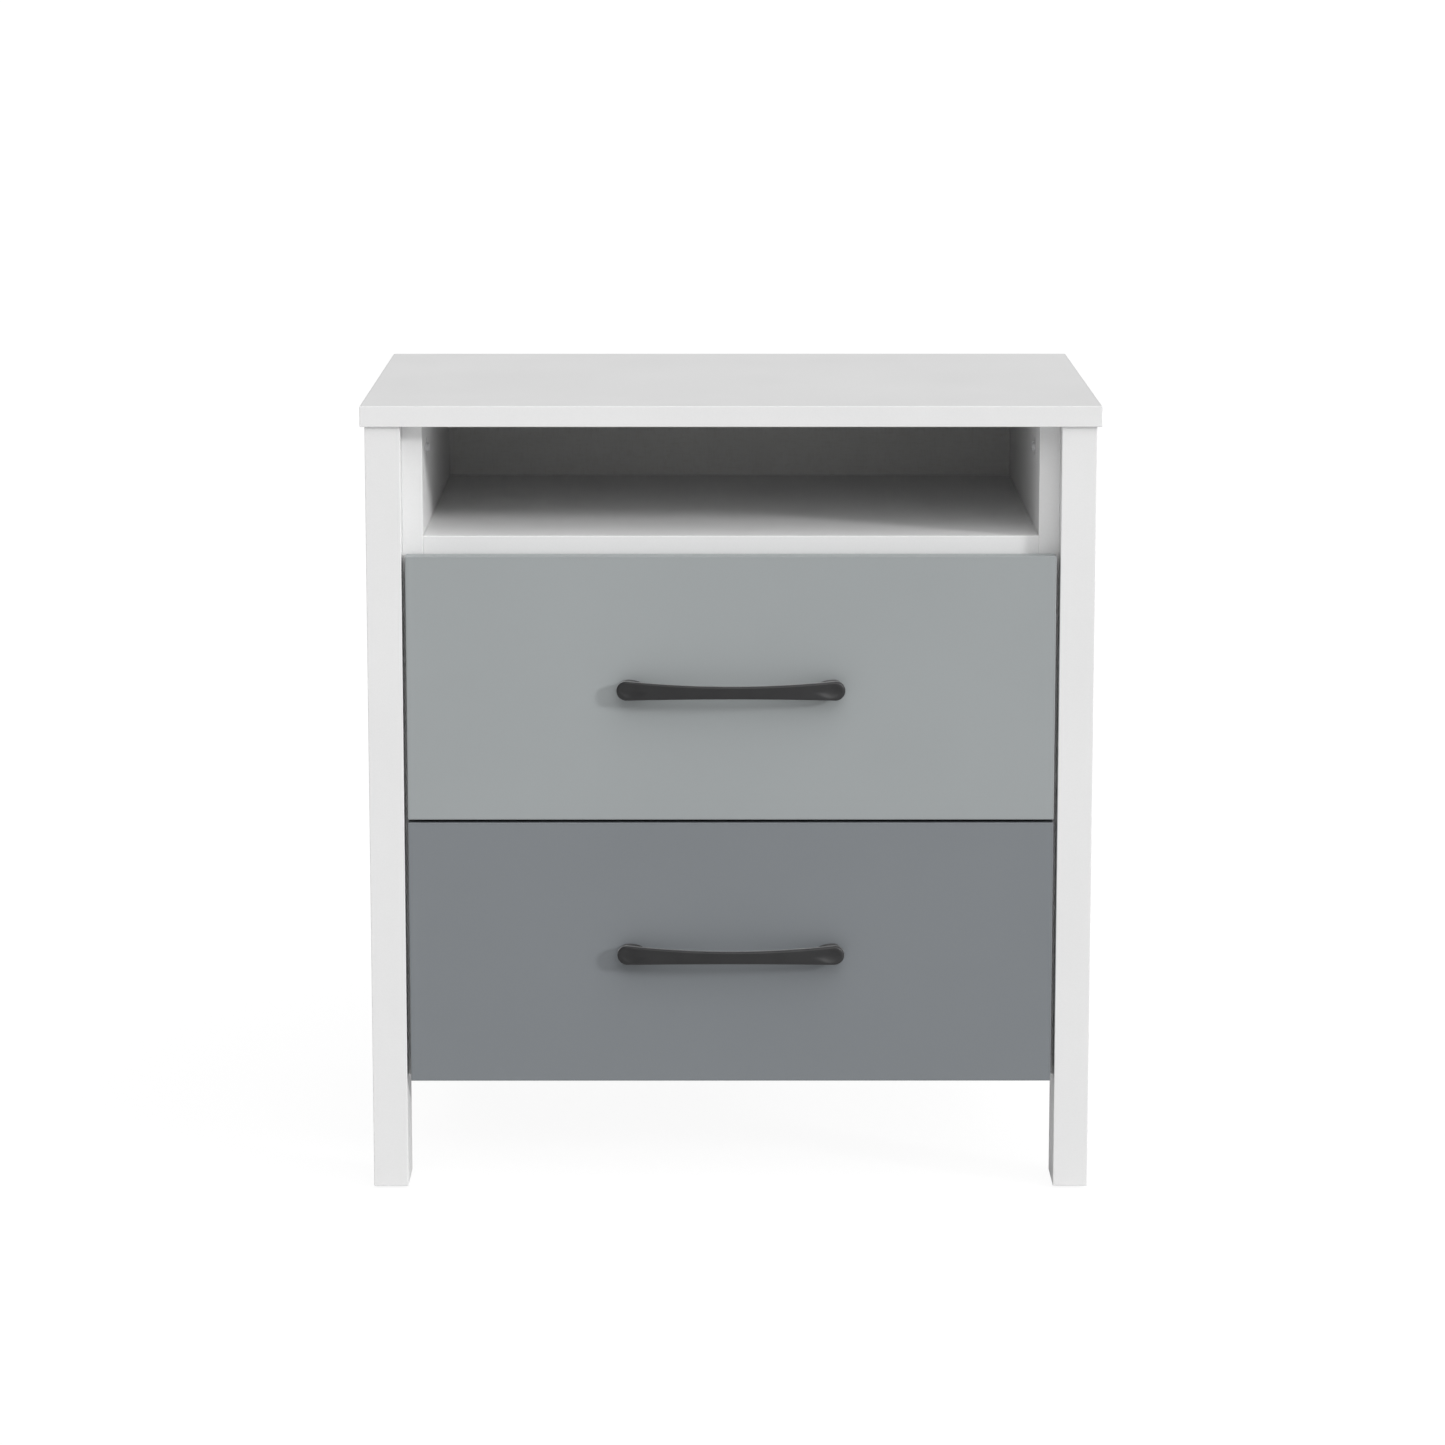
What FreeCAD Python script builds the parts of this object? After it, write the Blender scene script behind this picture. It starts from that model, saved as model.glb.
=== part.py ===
"""Nightstand: a white carcass between four slab legs, an open compartment and two drawers.

Units are millimetres.  +Z is up, -Y is the front and +X is the right seen from the front.
The origin is on the floor, in the middle of the width and of the depth over the handles.
Every piece is a solid of its own, and each entry of PIECES becomes one STEP file.
"""
import FreeCAD, Part
import math
import os

Vec = FreeCAD.Vector
ORIGIN = Vec(0, 0, 0)
RIGHT, BACKWARD, UP = Vec(1, 0, 0), Vec(0, 1, 0), Vec(0, 0, 1)

# ---------------------------------------------------------------- driving dimensions
TOP_WIDTH = 570.0
TOP_DEPTH = 400.0
HEIGHT = 621.0
BOARD = 16.0                 # laminated chipboard of the carcass, the top and the drawer fronts
EDGE_ROUND = 0.6             # rounding of the edge banding

LEG_WIDTH = 27.0
LEG_DEPTH = 50.0
SIDE_OVERHANG = 3.5          # the top beyond the legs, left and right
FRONT_OVERHANG = 3.0         # the top beyond the legs, at the front
GLIDE_HEIGHT = 2.0
GLIDE_RADIUS = 10.0
GLIDE_STEM_RADIUS = 3.0
GLIDE_STEM_LENGTH = 14.0

CARCASS_SETBACK = 17.0       # front edges of the carcass behind the faces of the legs
CARCASS_UNDERSIDE = 88.8
SHELF_UNDERSIDE = 502.0
BACK_BOARD = 3.0             # hardboard
BACK_INSET = 0.5
BACK_SIDE_GAP = 1.0

FRONT_WIDTH = 503.0
FRONT_HEIGHT = 207.0
FRONT_TOPS = {"upper_drawer": 504.2, "lower_drawer": 294.7}
BOX_ABOVE_FRONT_BOTTOM = 22.3
BOX_WIDTH = 452.0
BOX_LENGTH = 350.0
BOX_HEIGHT = 150.0
BOX_BOARD = 12.0             # drawer sides and backs
BOX_BACK_DROP = 5.0          # the back ends this much below the sides
GROOVE_HEIGHT = 10.0         # bottom groove above the lower edge of the sides
GROOVE_WIDTH = 3.3
GROOVE_DEPTH = 6.0
BOTTOM_BOARD = 3.0
BOTTOM_PLAY = 0.3            # between the drawer bottom and the floor of its groove
DRAWER_CAM_DEPTH = 9.5
DRAWER_CAM_SCALE = 0.85      # bolt heads and hollows are slimmer in the thinner board
DRAWER_CAM_HEIGHTS = (50.0, 120.0)

HANDLE_REACH = 22.0          # furthest point of the bow in front of the drawer front
HANDLE_BOW = 9.0             # how far the middle stands out beyond the feet
HANDLE_CENTRES = 160.0
HANDLE_END_CENTRE = 81.2     # centre of each rounded end, from the middle
HANDLE_END_RADIUS = 7.5
HANDLE_WAIST = 4.9           # half height in the middle
HANDLE_THICKNESS = 6.5
HANDLE_ROUND = 1.6           # rounding of the bar's long edges
FOOT_BASE = (7.3, 14.5)      # outer radius, and length toward the middle, on the drawer front
FOOT_NECK = (6.6, 10.5)      # the same inside the bar
HANDLE_THREAD_DEPTH = 9.0

RAIL_LENGTH = 350.0
RAIL_SETBACK = 2.0           # front end of a cabinet rail behind the carcass edge
DRAWER_RAIL_LENGTH = 348.0
DRAWER_RAIL_SETBACK = 0.5    # behind the rear face of the drawer front
SLIDE_SPACE = 12.5           # between a drawer side and a carcass side
RAIL_BELOW_BOX = 2.0         # lower edge of a drawer side above the foot of the cabinet rail
STEEL = 1.0
ROLLER_RADIUS = 9.0
ROLLER_END_DISTANCE = 14.0   # roller axis from the end of its rail
CABINET_ROLLER_HEIGHT = 13.7
DRAWER_ROLLER_HEIGHT = 10.3
CABINET_ROLLER_SPAN = (2.0, 8.0)     # insets from the side panel
DRAWER_ROLLER_SPAN = (2.5, 7.6)
ROLLER_ROUND = 0.5
RIVET_RADIUS = 2.5
RIVET_HEAD_RADIUS = 3.8
RIVET_HEAD_HEIGHT = 1.0
RIVET_END_PLAY = 0.1         # between a roller and its rivet's head or shoulder
RUNNING_CLEARANCE = 0.05     # radial, roller on rivet
RAIL_HEIGHT = 30.0
RAIL_REACH = 9.0
LOWER_LIP = 3.0
UPPER_LIP = 27.0
DRAWER_FLANGE = 23.0         # underside of the flange that runs on the cabinet roller
DRAWER_FLANGE_EDGE = 3.0
DRAWER_FLANGE_LIP = 1.5

HOLE_PLAY = 0.05             # radial, drilled hole around a fitting
HOLE_EXTRA = 0.5             # a blind hole is this much deeper than what goes into it

CAM_RADIUS = 7.4
CAM_DEPTH = 12.5             # in 16 mm board
CAM_REACH = 24.0             # cam centre from the joint face
CAM_SETBACK = 56.0           # cams from the front and the rear edges of the carcass
CAM_HOLLOW_RADIUS = 3.9
CAM_HOLLOW_PAST_CENTRE = 4.0
CAM_HUB_RADIUS = 3.4         # raised middle that the screwdriver turns
CAM_HUB_PROUD = 2.5
BOLT_THREAD_RADIUS = 3.0
BOLT_THREAD_LENGTH = 11.0
BOLT_SHANK_RADIUS = 2.5
BOLT_HEAD_RADIUS = 3.4
BOLT_HEAD_LENGTH = 6.0
BOLT_HEAD_PAST_CENTRE = 2.0
BOLT_BORE_RADIUS = 3.6
BOLT_BORE_LENGTH = 32.0

DOWEL_RADIUS = 4.0
DOWEL_IN_FACE = 11.0
DOWEL_IN_EDGE = 19.0
DOWEL_SETBACK = 24.0

HEAD_TO_SHANK = 2.0          # flat-headed screws: head radius over shank radius
HEAD_TAPER = 1.25            # and head height over shank radius
LEG_SCREW_RADIUS = 2.0
LEG_SCREW_LENGTH = 35.0
LEG_SCREW_HEIGHTS = (175.0, 300.0, 470.0)
LEG_SCREW_FRONT = 17.5       # behind the carcass front edge
LEG_SCREW_REAR = 23.0        # in front of the carcass rear edge
SMALL_SCREW_RADIUS = 1.7
CABINET_RAIL_SCREW_LENGTH = 14.0
CABINET_RAIL_SCREW_HEIGHT = 15.0
DRAWER_RAIL_SCREW_LENGTH = 11.0
DRAWER_RAIL_SCREW_HEIGHT = 5.0
RAIL_SCREW_OFFSETS = (37.0, 165.0, 293.0)
BACK_SCREW_LENGTH = 35.0
BACK_SCREW_HEIGHTS = (50.0, 115.0)
HANDLE_SCREW_RADIUS = 2.0
HANDLE_SCREW_HEAD_RADIUS = 4.0
HANDLE_SCREW_HEAD_HEIGHT = 2.6
HANDLE_SCREW_PASSAGE = 2.25  # radius of the hole through the drawer front

NAIL_RADIUS = 0.8
NAIL_LENGTH = 20.0
NAIL_HEAD_RADIUS = 2.0
NAIL_HEAD_HEIGHT = 0.5
NAIL_FIRST_HEIGHT = 40.0     # above the carcass underside, up each side
NAIL_HEIGHT_STEP = 110.0
NAILS_UP_EACH_SIDE = 5
NAIL_ROW = (-120.0, 0.0, 120.0)

# ---------------------------------------------------------------- places worked out from them
LEG_OUTER = TOP_WIDTH / 2 - SIDE_OVERHANG
LEG_INNER = LEG_OUTER - LEG_WIDTH
SIDE_INNER = LEG_INNER - BOARD
SIDE_MIDDLE = LEG_INNER - BOARD / 2
TOP_UNDERSIDE = HEIGHT - BOARD

REAR = (TOP_DEPTH + HANDLE_REACH - FRONT_OVERHANG) / 2
TOP_FRONT = REAR - TOP_DEPTH
FACE = TOP_FRONT + FRONT_OVERHANG
FRONT_REAR = FACE + BOARD
CARCASS_FRONT = FACE + CARCASS_SETBACK
CARCASS_REAR = REAR - BACK_INSET - BACK_BOARD

BOX_OUTER = BOX_WIDTH / 2
BOX_INNER = BOX_OUTER - BOX_BOARD
BOX_REAR = FRONT_REAR + BOX_LENGTH
FRONT_HALF = FRONT_WIDTH / 2
HANDLE_FEET = (-HANDLE_CENTRES / 2, HANDLE_CENTRES / 2)

CABINET_RAIL_FRONT = CARCASS_FRONT + RAIL_SETBACK
DRAWER_RAIL_FRONT = FRONT_REAR + DRAWER_RAIL_SETBACK
DRAWER_WEB = SLIDE_SPACE - STEEL
CABINET_ROLLER_Y = CABINET_RAIL_FRONT + ROLLER_END_DISTANCE
DRAWER_ROLLER_Y = DRAWER_RAIL_FRONT + DRAWER_RAIL_LENGTH - ROLLER_END_DISTANCE

CAM_PLACES = (CARCASS_FRONT + CAM_SETBACK, CARCASS_REAR - CAM_SETBACK)
DOWEL_PLACES = (CARCASS_FRONT + DOWEL_SETBACK, CARCASS_REAR - DOWEL_SETBACK)
LEG_SCREW_PLACES = (CARCASS_FRONT + LEG_SCREW_FRONT, CARCASS_REAR - LEG_SCREW_REAR)
SIDES = {"left": -1, "right": 1}


# ---------------------------------------------------------------- shapes used throughout
def block(x, y, z):
    """Box between a low and a high value on each axis."""
    return Part.makeBox(x[1] - x[0], y[1] - y[0], z[1] - z[0], Vec(x[0], y[0], z[0]))


def board(x, y, z):
    """Board whose banded edges are slightly rounded."""
    plain = block(x, y, z)
    return plain.makeFillet(EDGE_ROUND, plain.Edges)


def span(side, inner, outer):
    """X range between two distances from the middle, on the left (-1) or the right (1)."""
    return tuple(sorted((side * inner, side * outer)))


def rod(start, direction, radius, length):
    """Round bar from a point along a unit direction."""
    return Part.makeCylinder(radius, length, start, direction)


def fused(solids):
    """One solid made of touching solids."""
    return solids[0].fuse(solids[1:]).removeSplitter()


def mirrored(shape):
    """The same shape on the other side of the middle plane."""
    return shape.mirror(ORIGIN, RIGHT)


# ---------------------------------------------------------------- fasteners
def countersunk_screw(mouth, direction, length, radius, play=0.0):
    """Screw whose flat head ends flush at mouth; with play it is the hole for that screw."""
    head = Part.makeCone(HEAD_TO_SHANK * radius + play, radius + play, HEAD_TAPER * radius,
                         mouth, direction)
    return fused([head, rod(mouth, direction, radius + play, length + play)])


def cam_bolt(joint, direction, scale=1.0):
    """Bolt of a cam joint: a thread in the panel's face, a shank and a ball head for the cam."""
    head_start = CAM_REACH + BOLT_HEAD_PAST_CENTRE - BOLT_HEAD_LENGTH
    thread = rod(joint - direction * BOLT_THREAD_LENGTH, direction, BOLT_THREAD_RADIUS,
                 BOLT_THREAD_LENGTH)
    shank = rod(joint, direction, BOLT_SHANK_RADIUS * scale, head_start)
    head = rod(joint + direction * head_start, direction, BOLT_HEAD_RADIUS * scale, BOLT_HEAD_LENGTH)
    return fused([thread, shank, head])


def cam(joint, direction, mouth, thickness, depth, scale=1.0):
    """Cam disc sunk in a board's face with its hub proud, hollow where it grips its bolt's head."""
    centre = joint + direction * CAM_REACH + mouth * (thickness / 2)
    disc = rod(centre, mouth * -1, CAM_RADIUS, depth)
    hub = rod(centre, mouth, CAM_HUB_RADIUS, CAM_HUB_PROUD)
    hollow = rod(joint, direction, CAM_HOLLOW_RADIUS * scale, CAM_REACH + CAM_HOLLOW_PAST_CENTRE)
    return fused([disc, hub]).cut(hollow)


def cam_holes(joint, direction, mouth, thickness, depth, scale=1.0):
    """What a cam joint drills: the bolt's hole in the face, then the bore and pocket in the edge."""
    centre = joint + direction * CAM_REACH + mouth * (thickness / 2)
    face_depth = BOLT_THREAD_LENGTH + HOLE_EXTRA
    face_hole = rod(joint - direction * face_depth, direction, BOLT_THREAD_RADIUS + HOLE_PLAY, face_depth)
    bore = rod(joint, direction, BOLT_BORE_RADIUS * scale, BOLT_BORE_LENGTH)
    pocket = rod(centre, mouth * -1, CAM_RADIUS + HOLE_PLAY, depth + HOLE_EXTRA / 2)
    return face_hole, bore.fuse(pocket)


def dowel(joint, direction):
    """Wood dowel, partly in a panel's face and partly in the other board's edge."""
    start = joint - direction * DOWEL_IN_FACE
    return rod(start, direction, DOWEL_RADIUS, DOWEL_IN_FACE + DOWEL_IN_EDGE)


def dowel_hole(joint, direction):
    """Drilled hole for a dowel, through both boards."""
    start = joint - direction * (DOWEL_IN_FACE + HOLE_EXTRA)
    depth = DOWEL_IN_FACE + DOWEL_IN_EDGE + 2 * HOLE_EXTRA
    return rod(start, direction, DOWEL_RADIUS + HOLE_PLAY, depth)


# ---------------------------------------------------------------- carcass
def carcass_joints(side):
    """Joints of one side panel: a point at Y 0, the bolts' way, the cams' mouth, the other board."""
    inward = Vec(-side, 0, 0)
    level = {"shelf": SHELF_UNDERSIDE + BOARD / 2, "bottom": CARCASS_UNDERSIDE + BOARD / 2}
    yield Vec(side * SIDE_MIDDLE, 0, TOP_UNDERSIDE), UP * -1, inward, "top"
    for name, height in level.items():
        yield Vec(side * SIDE_INNER, 0, height), inward, UP * -1, name


def carcass_fittings():
    """Cam bolts, cams, dowels and their holes at the top, shelf and bottom joints."""
    bolts, cams, dowels = [], [], []
    drilled = {name: [] for name in ("top", "shelf", "bottom", "left", "right")}
    for side_name, side in SIDES.items():
        for point, direction, mouth, name in carcass_joints(side):
            face_board = "top" if name == "top" else side_name
            edge_board = side_name if name == "top" else name
            for y in CAM_PLACES:
                joint = point + BACKWARD * y
                in_face, in_edge = cam_holes(joint, direction, mouth, BOARD, CAM_DEPTH)
                bolts.append(cam_bolt(joint, direction))
                cams.append(cam(joint, direction, mouth, BOARD, CAM_DEPTH))
                drilled[face_board].append(in_face)
                drilled[edge_board].append(in_edge)
            for y in DOWEL_PLACES:
                joint = point + BACKWARD * y
                dowels.append(dowel(joint, direction))
                drilled[face_board].append(dowel_hole(joint, direction))
                drilled[edge_board].append(dowel_hole(joint, direction))
    return bolts, cams, dowels, drilled


def leg_screws(side, play=0.0):
    """Screws from inside a side panel into its two legs; with play, their holes."""
    outward = Vec(side, 0, 0)
    heads = [Vec(side * SIDE_INNER, y, z) for y in LEG_SCREW_PLACES for z in LEG_SCREW_HEIGHTS]
    return [countersunk_screw(head, outward, LEG_SCREW_LENGTH, LEG_SCREW_RADIUS, play) for head in heads]


def leg(side, front):
    """Slab leg, drilled for its screws and for the stem of its glide."""
    y = (FACE, FACE + LEG_DEPTH) if front else (REAR - LEG_DEPTH, REAR)
    slab = board(span(side, LEG_INNER, LEG_OUTER), y, (GLIDE_HEIGHT, TOP_UNDERSIDE))
    stem = rod(Vec(side * (LEG_INNER + LEG_WIDTH / 2), sum(y) / 2, 0), UP,
               GLIDE_STEM_RADIUS + HOLE_PLAY, GLIDE_HEIGHT + GLIDE_STEM_LENGTH + HOLE_EXTRA)
    return slab.cut(leg_screws(side, HOLE_PLAY) + [stem])


def foot_glide(side, front):
    """Plastic glide: a disc under the leg and a stem pressed into it."""
    y = FACE + LEG_DEPTH / 2 if front else REAR - LEG_DEPTH / 2
    centre = Vec(side * (LEG_INNER + LEG_WIDTH / 2), y, 0)
    disc = rod(centre, UP, GLIDE_RADIUS, GLIDE_HEIGHT)
    stem = rod(centre, UP, GLIDE_STEM_RADIUS, GLIDE_HEIGHT + GLIDE_STEM_LENGTH)
    return fused([disc, stem])


def back_panel_nails(play=0.0):
    """Nails through the back panel into the side panels, the shelf and the bottom."""
    first = CARCASS_UNDERSIDE + NAIL_FIRST_HEIGHT
    heights = [first + NAIL_HEIGHT_STEP * i for i in range(NAILS_UP_EACH_SIDE)]
    places = [(side * SIDE_MIDDLE, z) for side in SIDES.values() for z in heights]
    for z in (CARCASS_UNDERSIDE + BOARD / 2, SHELF_UNDERSIDE + BOARD / 2):
        places += [(x, z) for x in NAIL_ROW]
    back_face = CARCASS_REAR + BACK_BOARD
    nails = []
    for x, z in places:
        head = rod(Vec(x, back_face, z), BACKWARD, NAIL_HEAD_RADIUS, NAIL_HEAD_HEIGHT)
        shank = rod(Vec(x, back_face, z), BACKWARD * -1, NAIL_RADIUS + play, NAIL_LENGTH + play)
        nails.append(fused([head, shank]))
    return nails


# ---------------------------------------------------------------- roller slides
def across_left(inset):
    """X of a point at a distance inward from the left side panel."""
    return -SIDE_INNER + inset


def rail_foot(front_top):
    """Height of the cabinet rail's lower edge for a drawer whose front ends at front_top."""
    return front_top - FRONT_HEIGHT + BOX_ABOVE_FRONT_BOTTOM + RAIL_BELOW_BOX


def extruded_profile(points, foot, start, length):
    """Left-hand rail: corners as (inset, height above the foot), extruded backwards."""
    corners = [Vec(across_left(u), start, foot + w) for u, w in points]
    outline = Part.makePolygon(corners + corners[:1])
    return Part.Face(outline).extrude(BACKWARD * length)


def cabinet_rail(foot):
    """C-shaped rail on the side panel; its roller sits at the front end."""
    lip = RAIL_REACH - STEEL
    profile = [(0, 0), (RAIL_REACH, 0), (RAIL_REACH, LOWER_LIP), (lip, LOWER_LIP),
               (lip, STEEL), (STEEL, STEEL), (STEEL, RAIL_HEIGHT - STEEL),
               (lip, RAIL_HEIGHT - STEEL), (lip, UPPER_LIP), (RAIL_REACH, UPPER_LIP),
               (RAIL_REACH, RAIL_HEIGHT), (0, RAIL_HEIGHT)]
    return extruded_profile(profile, foot, CABINET_RAIL_FRONT, RAIL_LENGTH)


def drawer_rail(foot):
    """Rail on the drawer: a foot under the side, a web, and a flange that runs on the roller."""
    base = -RAIL_BELOW_BOX
    edge = DRAWER_FLANGE_EDGE
    top = DRAWER_FLANGE + STEEL
    profile = [(SLIDE_SPACE + BOX_BOARD, base - STEEL), (SLIDE_SPACE + BOX_BOARD, base),
               (SLIDE_SPACE, base), (SLIDE_SPACE, top), (edge + STEEL, top),
               (edge + STEEL, top + DRAWER_FLANGE_LIP), (edge, top + DRAWER_FLANGE_LIP),
               (edge, DRAWER_FLANGE),
               (DRAWER_WEB, DRAWER_FLANGE), (DRAWER_WEB, base - STEEL)]
    return extruded_profile(profile, foot, DRAWER_RAIL_FRONT, DRAWER_RAIL_LENGTH)


def cabinet_rail_screws(foot, play=0.0):
    """Flat-headed screws through the cabinet rail's web into the side panel."""
    heads = [Vec(across_left(STEEL), CARCASS_FRONT + offset, foot + CABINET_RAIL_SCREW_HEIGHT)
             for offset in RAIL_SCREW_OFFSETS]
    return [countersunk_screw(head, RIGHT * -1, CABINET_RAIL_SCREW_LENGTH, SMALL_SCREW_RADIUS, play)
            for head in heads]


def drawer_rail_screws(foot, play=0.0):
    """Flat-headed screws through the drawer rail's web into the drawer side."""
    heads = [Vec(across_left(DRAWER_WEB), DRAWER_RAIL_FRONT + offset, foot + DRAWER_RAIL_SCREW_HEIGHT)
             for offset in RAIL_SCREW_OFFSETS]
    return [countersunk_screw(head, RIGHT, DRAWER_RAIL_SCREW_LENGTH, SMALL_SCREW_RADIUS, play)
            for head in heads]


def roller(foot, y, height, reach):
    """Nylon roller with rounded rims and a bore for its rivet."""
    start = Vec(across_left(reach[0]), y, foot + height)
    wheel = rod(start, RIGHT, ROLLER_RADIUS, reach[1] - reach[0])
    rims = [edge for edge in wheel.Edges if edge.Closed]
    wheel = wheel.makeFillet(ROLLER_ROUND, rims)
    return wheel.cut(rod(start, RIGHT, RIVET_RADIUS + RUNNING_CLEARANCE, reach[1] - reach[0]))


def cabinet_rivet(foot, play=0.0):
    """Rivet in the cabinet rail's web, with a head outside the roller."""
    start = Vec(across_left(0), CABINET_ROLLER_Y, foot + CABINET_ROLLER_HEIGHT)
    head_start = CABINET_ROLLER_SPAN[1] + RIVET_END_PLAY
    shoulder_length = CABINET_ROLLER_SPAN[0] - RIVET_END_PLAY - STEEL
    shank = rod(start, RIGHT, RIVET_RADIUS + play, head_start + RIVET_HEAD_HEIGHT)
    shoulder = rod(start + RIGHT * STEEL, RIGHT, RIVET_HEAD_RADIUS, shoulder_length)
    head = rod(start + RIGHT * head_start, RIGHT, RIVET_HEAD_RADIUS, RIVET_HEAD_HEIGHT)
    return shank if play else fused([shank, shoulder, head])


def drawer_rivet(foot, play=0.0):
    """Rivet in the drawer rail's web, with a shoulder that keeps the roller in its track."""
    start = Vec(across_left(SLIDE_SPACE), DRAWER_ROLLER_Y, foot + DRAWER_ROLLER_HEIGHT)
    outward = RIGHT * -1
    head_start = SLIDE_SPACE - DRAWER_ROLLER_SPAN[0] + RIVET_END_PLAY
    shoulder_length = SLIDE_SPACE - DRAWER_ROLLER_SPAN[1] - RIVET_END_PLAY - STEEL
    shank = rod(start, outward, RIVET_RADIUS + play, head_start + RIVET_HEAD_HEIGHT)
    shoulder = rod(start + outward * STEEL, outward, RIVET_HEAD_RADIUS, shoulder_length)
    head = rod(start + outward * head_start, outward, RIVET_HEAD_RADIUS, RIVET_HEAD_HEIGHT)
    return shank if play else fused([shank, shoulder, head])


# ---------------------------------------------------------------- drawers
def drawer_joints(base):
    """Left-hand cam joints between a drawer side and its front."""
    middle = -(BOX_OUTER - BOX_BOARD / 2)
    return [Vec(middle, FRONT_REAR, base + height) for height in DRAWER_CAM_HEIGHTS]


def drawer_cams(base):
    """Left-hand cam bolts, cams and holes; the cams open on the side's outer face."""
    bolts, cams, in_front, in_side = [], [], [], []
    for joint in drawer_joints(base):
        setting = (joint, BACKWARD, RIGHT * -1, BOX_BOARD, DRAWER_CAM_DEPTH, DRAWER_CAM_SCALE)
        face_hole, edge_holes = cam_holes(*setting)
        bolts.append(cam_bolt(joint, BACKWARD, DRAWER_CAM_SCALE))
        cams.append(cam(*setting))
        in_front.append(face_hole)
        in_side.append(edge_holes)
    return bolts, cams, in_front, in_side


def back_screws(base, play=0.0):
    """Left-hand screws through a drawer side into the end of its back."""
    heads = [Vec(-BOX_OUTER, BOX_REAR - BOX_BOARD / 2, base + height) for height in BACK_SCREW_HEIGHTS]
    return [countersunk_screw(head, RIGHT, BACK_SCREW_LENGTH, SMALL_SCREW_RADIUS, play) for head in heads]


def drawer_side(base, foot, in_side):
    """Left-hand drawer side with its groove and drilled holes."""
    plain = board((-BOX_OUTER, -BOX_INNER), (FRONT_REAR, BOX_REAR), (base, base + BOX_HEIGHT))
    low = base + GROOVE_HEIGHT
    groove = block((-BOX_INNER - GROOVE_DEPTH, -BOX_INNER), (FRONT_REAR, BOX_REAR),
                   (low, low + GROOVE_WIDTH))
    holes = in_side + back_screws(base, HOLE_PLAY) + drawer_rail_screws(foot, HOLE_PLAY)
    return plain.cut([groove] + holes)


def drawer_front(bottom, base, in_front, handle_height):
    """Overlay front, grooved for the drawer bottom and drilled for the handle."""
    plain = board((-FRONT_HALF, FRONT_HALF), (FACE, FRONT_REAR), (bottom, bottom + FRONT_HEIGHT))
    low = base + GROOVE_HEIGHT
    half_groove = BOX_INNER + GROOVE_DEPTH
    groove = block((-half_groove, half_groove), (FRONT_REAR - GROOVE_DEPTH, FRONT_REAR),
                   (low, low + GROOVE_WIDTH))
    passages = [rod(Vec(x, FACE, handle_height), BACKWARD, HANDLE_SCREW_PASSAGE, BOARD)
                for x in HANDLE_FEET]
    return plain.cut([groove] + passages + in_front + [mirrored(hole) for hole in in_front])


def drawer_bottom(base):
    """Hardboard bottom, which slides into the grooves from behind and passes under the back."""
    half = BOX_INNER + GROOVE_DEPTH - BOTTOM_PLAY
    low = base + GROOVE_HEIGHT + (GROOVE_WIDTH - BOTTOM_BOARD) / 2
    return block((-half, half), (FRONT_REAR - GROOVE_DEPTH + BOTTOM_PLAY, BOX_REAR),
                 (low, low + BOTTOM_BOARD))


def drawer_back(base):
    """Back between the drawer sides, standing on the bottom."""
    screws = back_screws(base, HOLE_PLAY)
    plain = board((-BOX_INNER, BOX_INNER), (BOX_REAR - BOX_BOARD, BOX_REAR),
                  (base + GROOVE_HEIGHT + GROOVE_WIDTH, base + BOX_HEIGHT - BOX_BACK_DROP))
    return plain.cut(screws + [mirrored(screw) for screw in screws])


def bow_edge(depth, x):
    """Y of the handle's bowed line at a distance x from the middle."""
    return FACE - depth + HANDLE_BOW * (2 * x / HANDLE_CENTRES) ** 2


def foot_outline(size, depth, height):
    """Section of the right foot: round outside, and drawn out toward the middle of the bar."""
    radius, inward = size
    centre = Vec(HANDLE_CENTRES / 2, FACE - depth, height)
    low, high = centre - UP * radius, centre + UP * radius
    round_side = Part.Arc(low, centre + Vec(radius, 0, 0), high).toShape()
    ellipse = Part.Ellipse(centre - Vec(inward, 0, 0), high, centre)
    long_side = Part.ArcOfEllipse(ellipse, -math.pi / 2, math.pi / 2).toShape()
    return Part.Wire(Part.__sortEdges__([round_side, long_side]))


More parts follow.
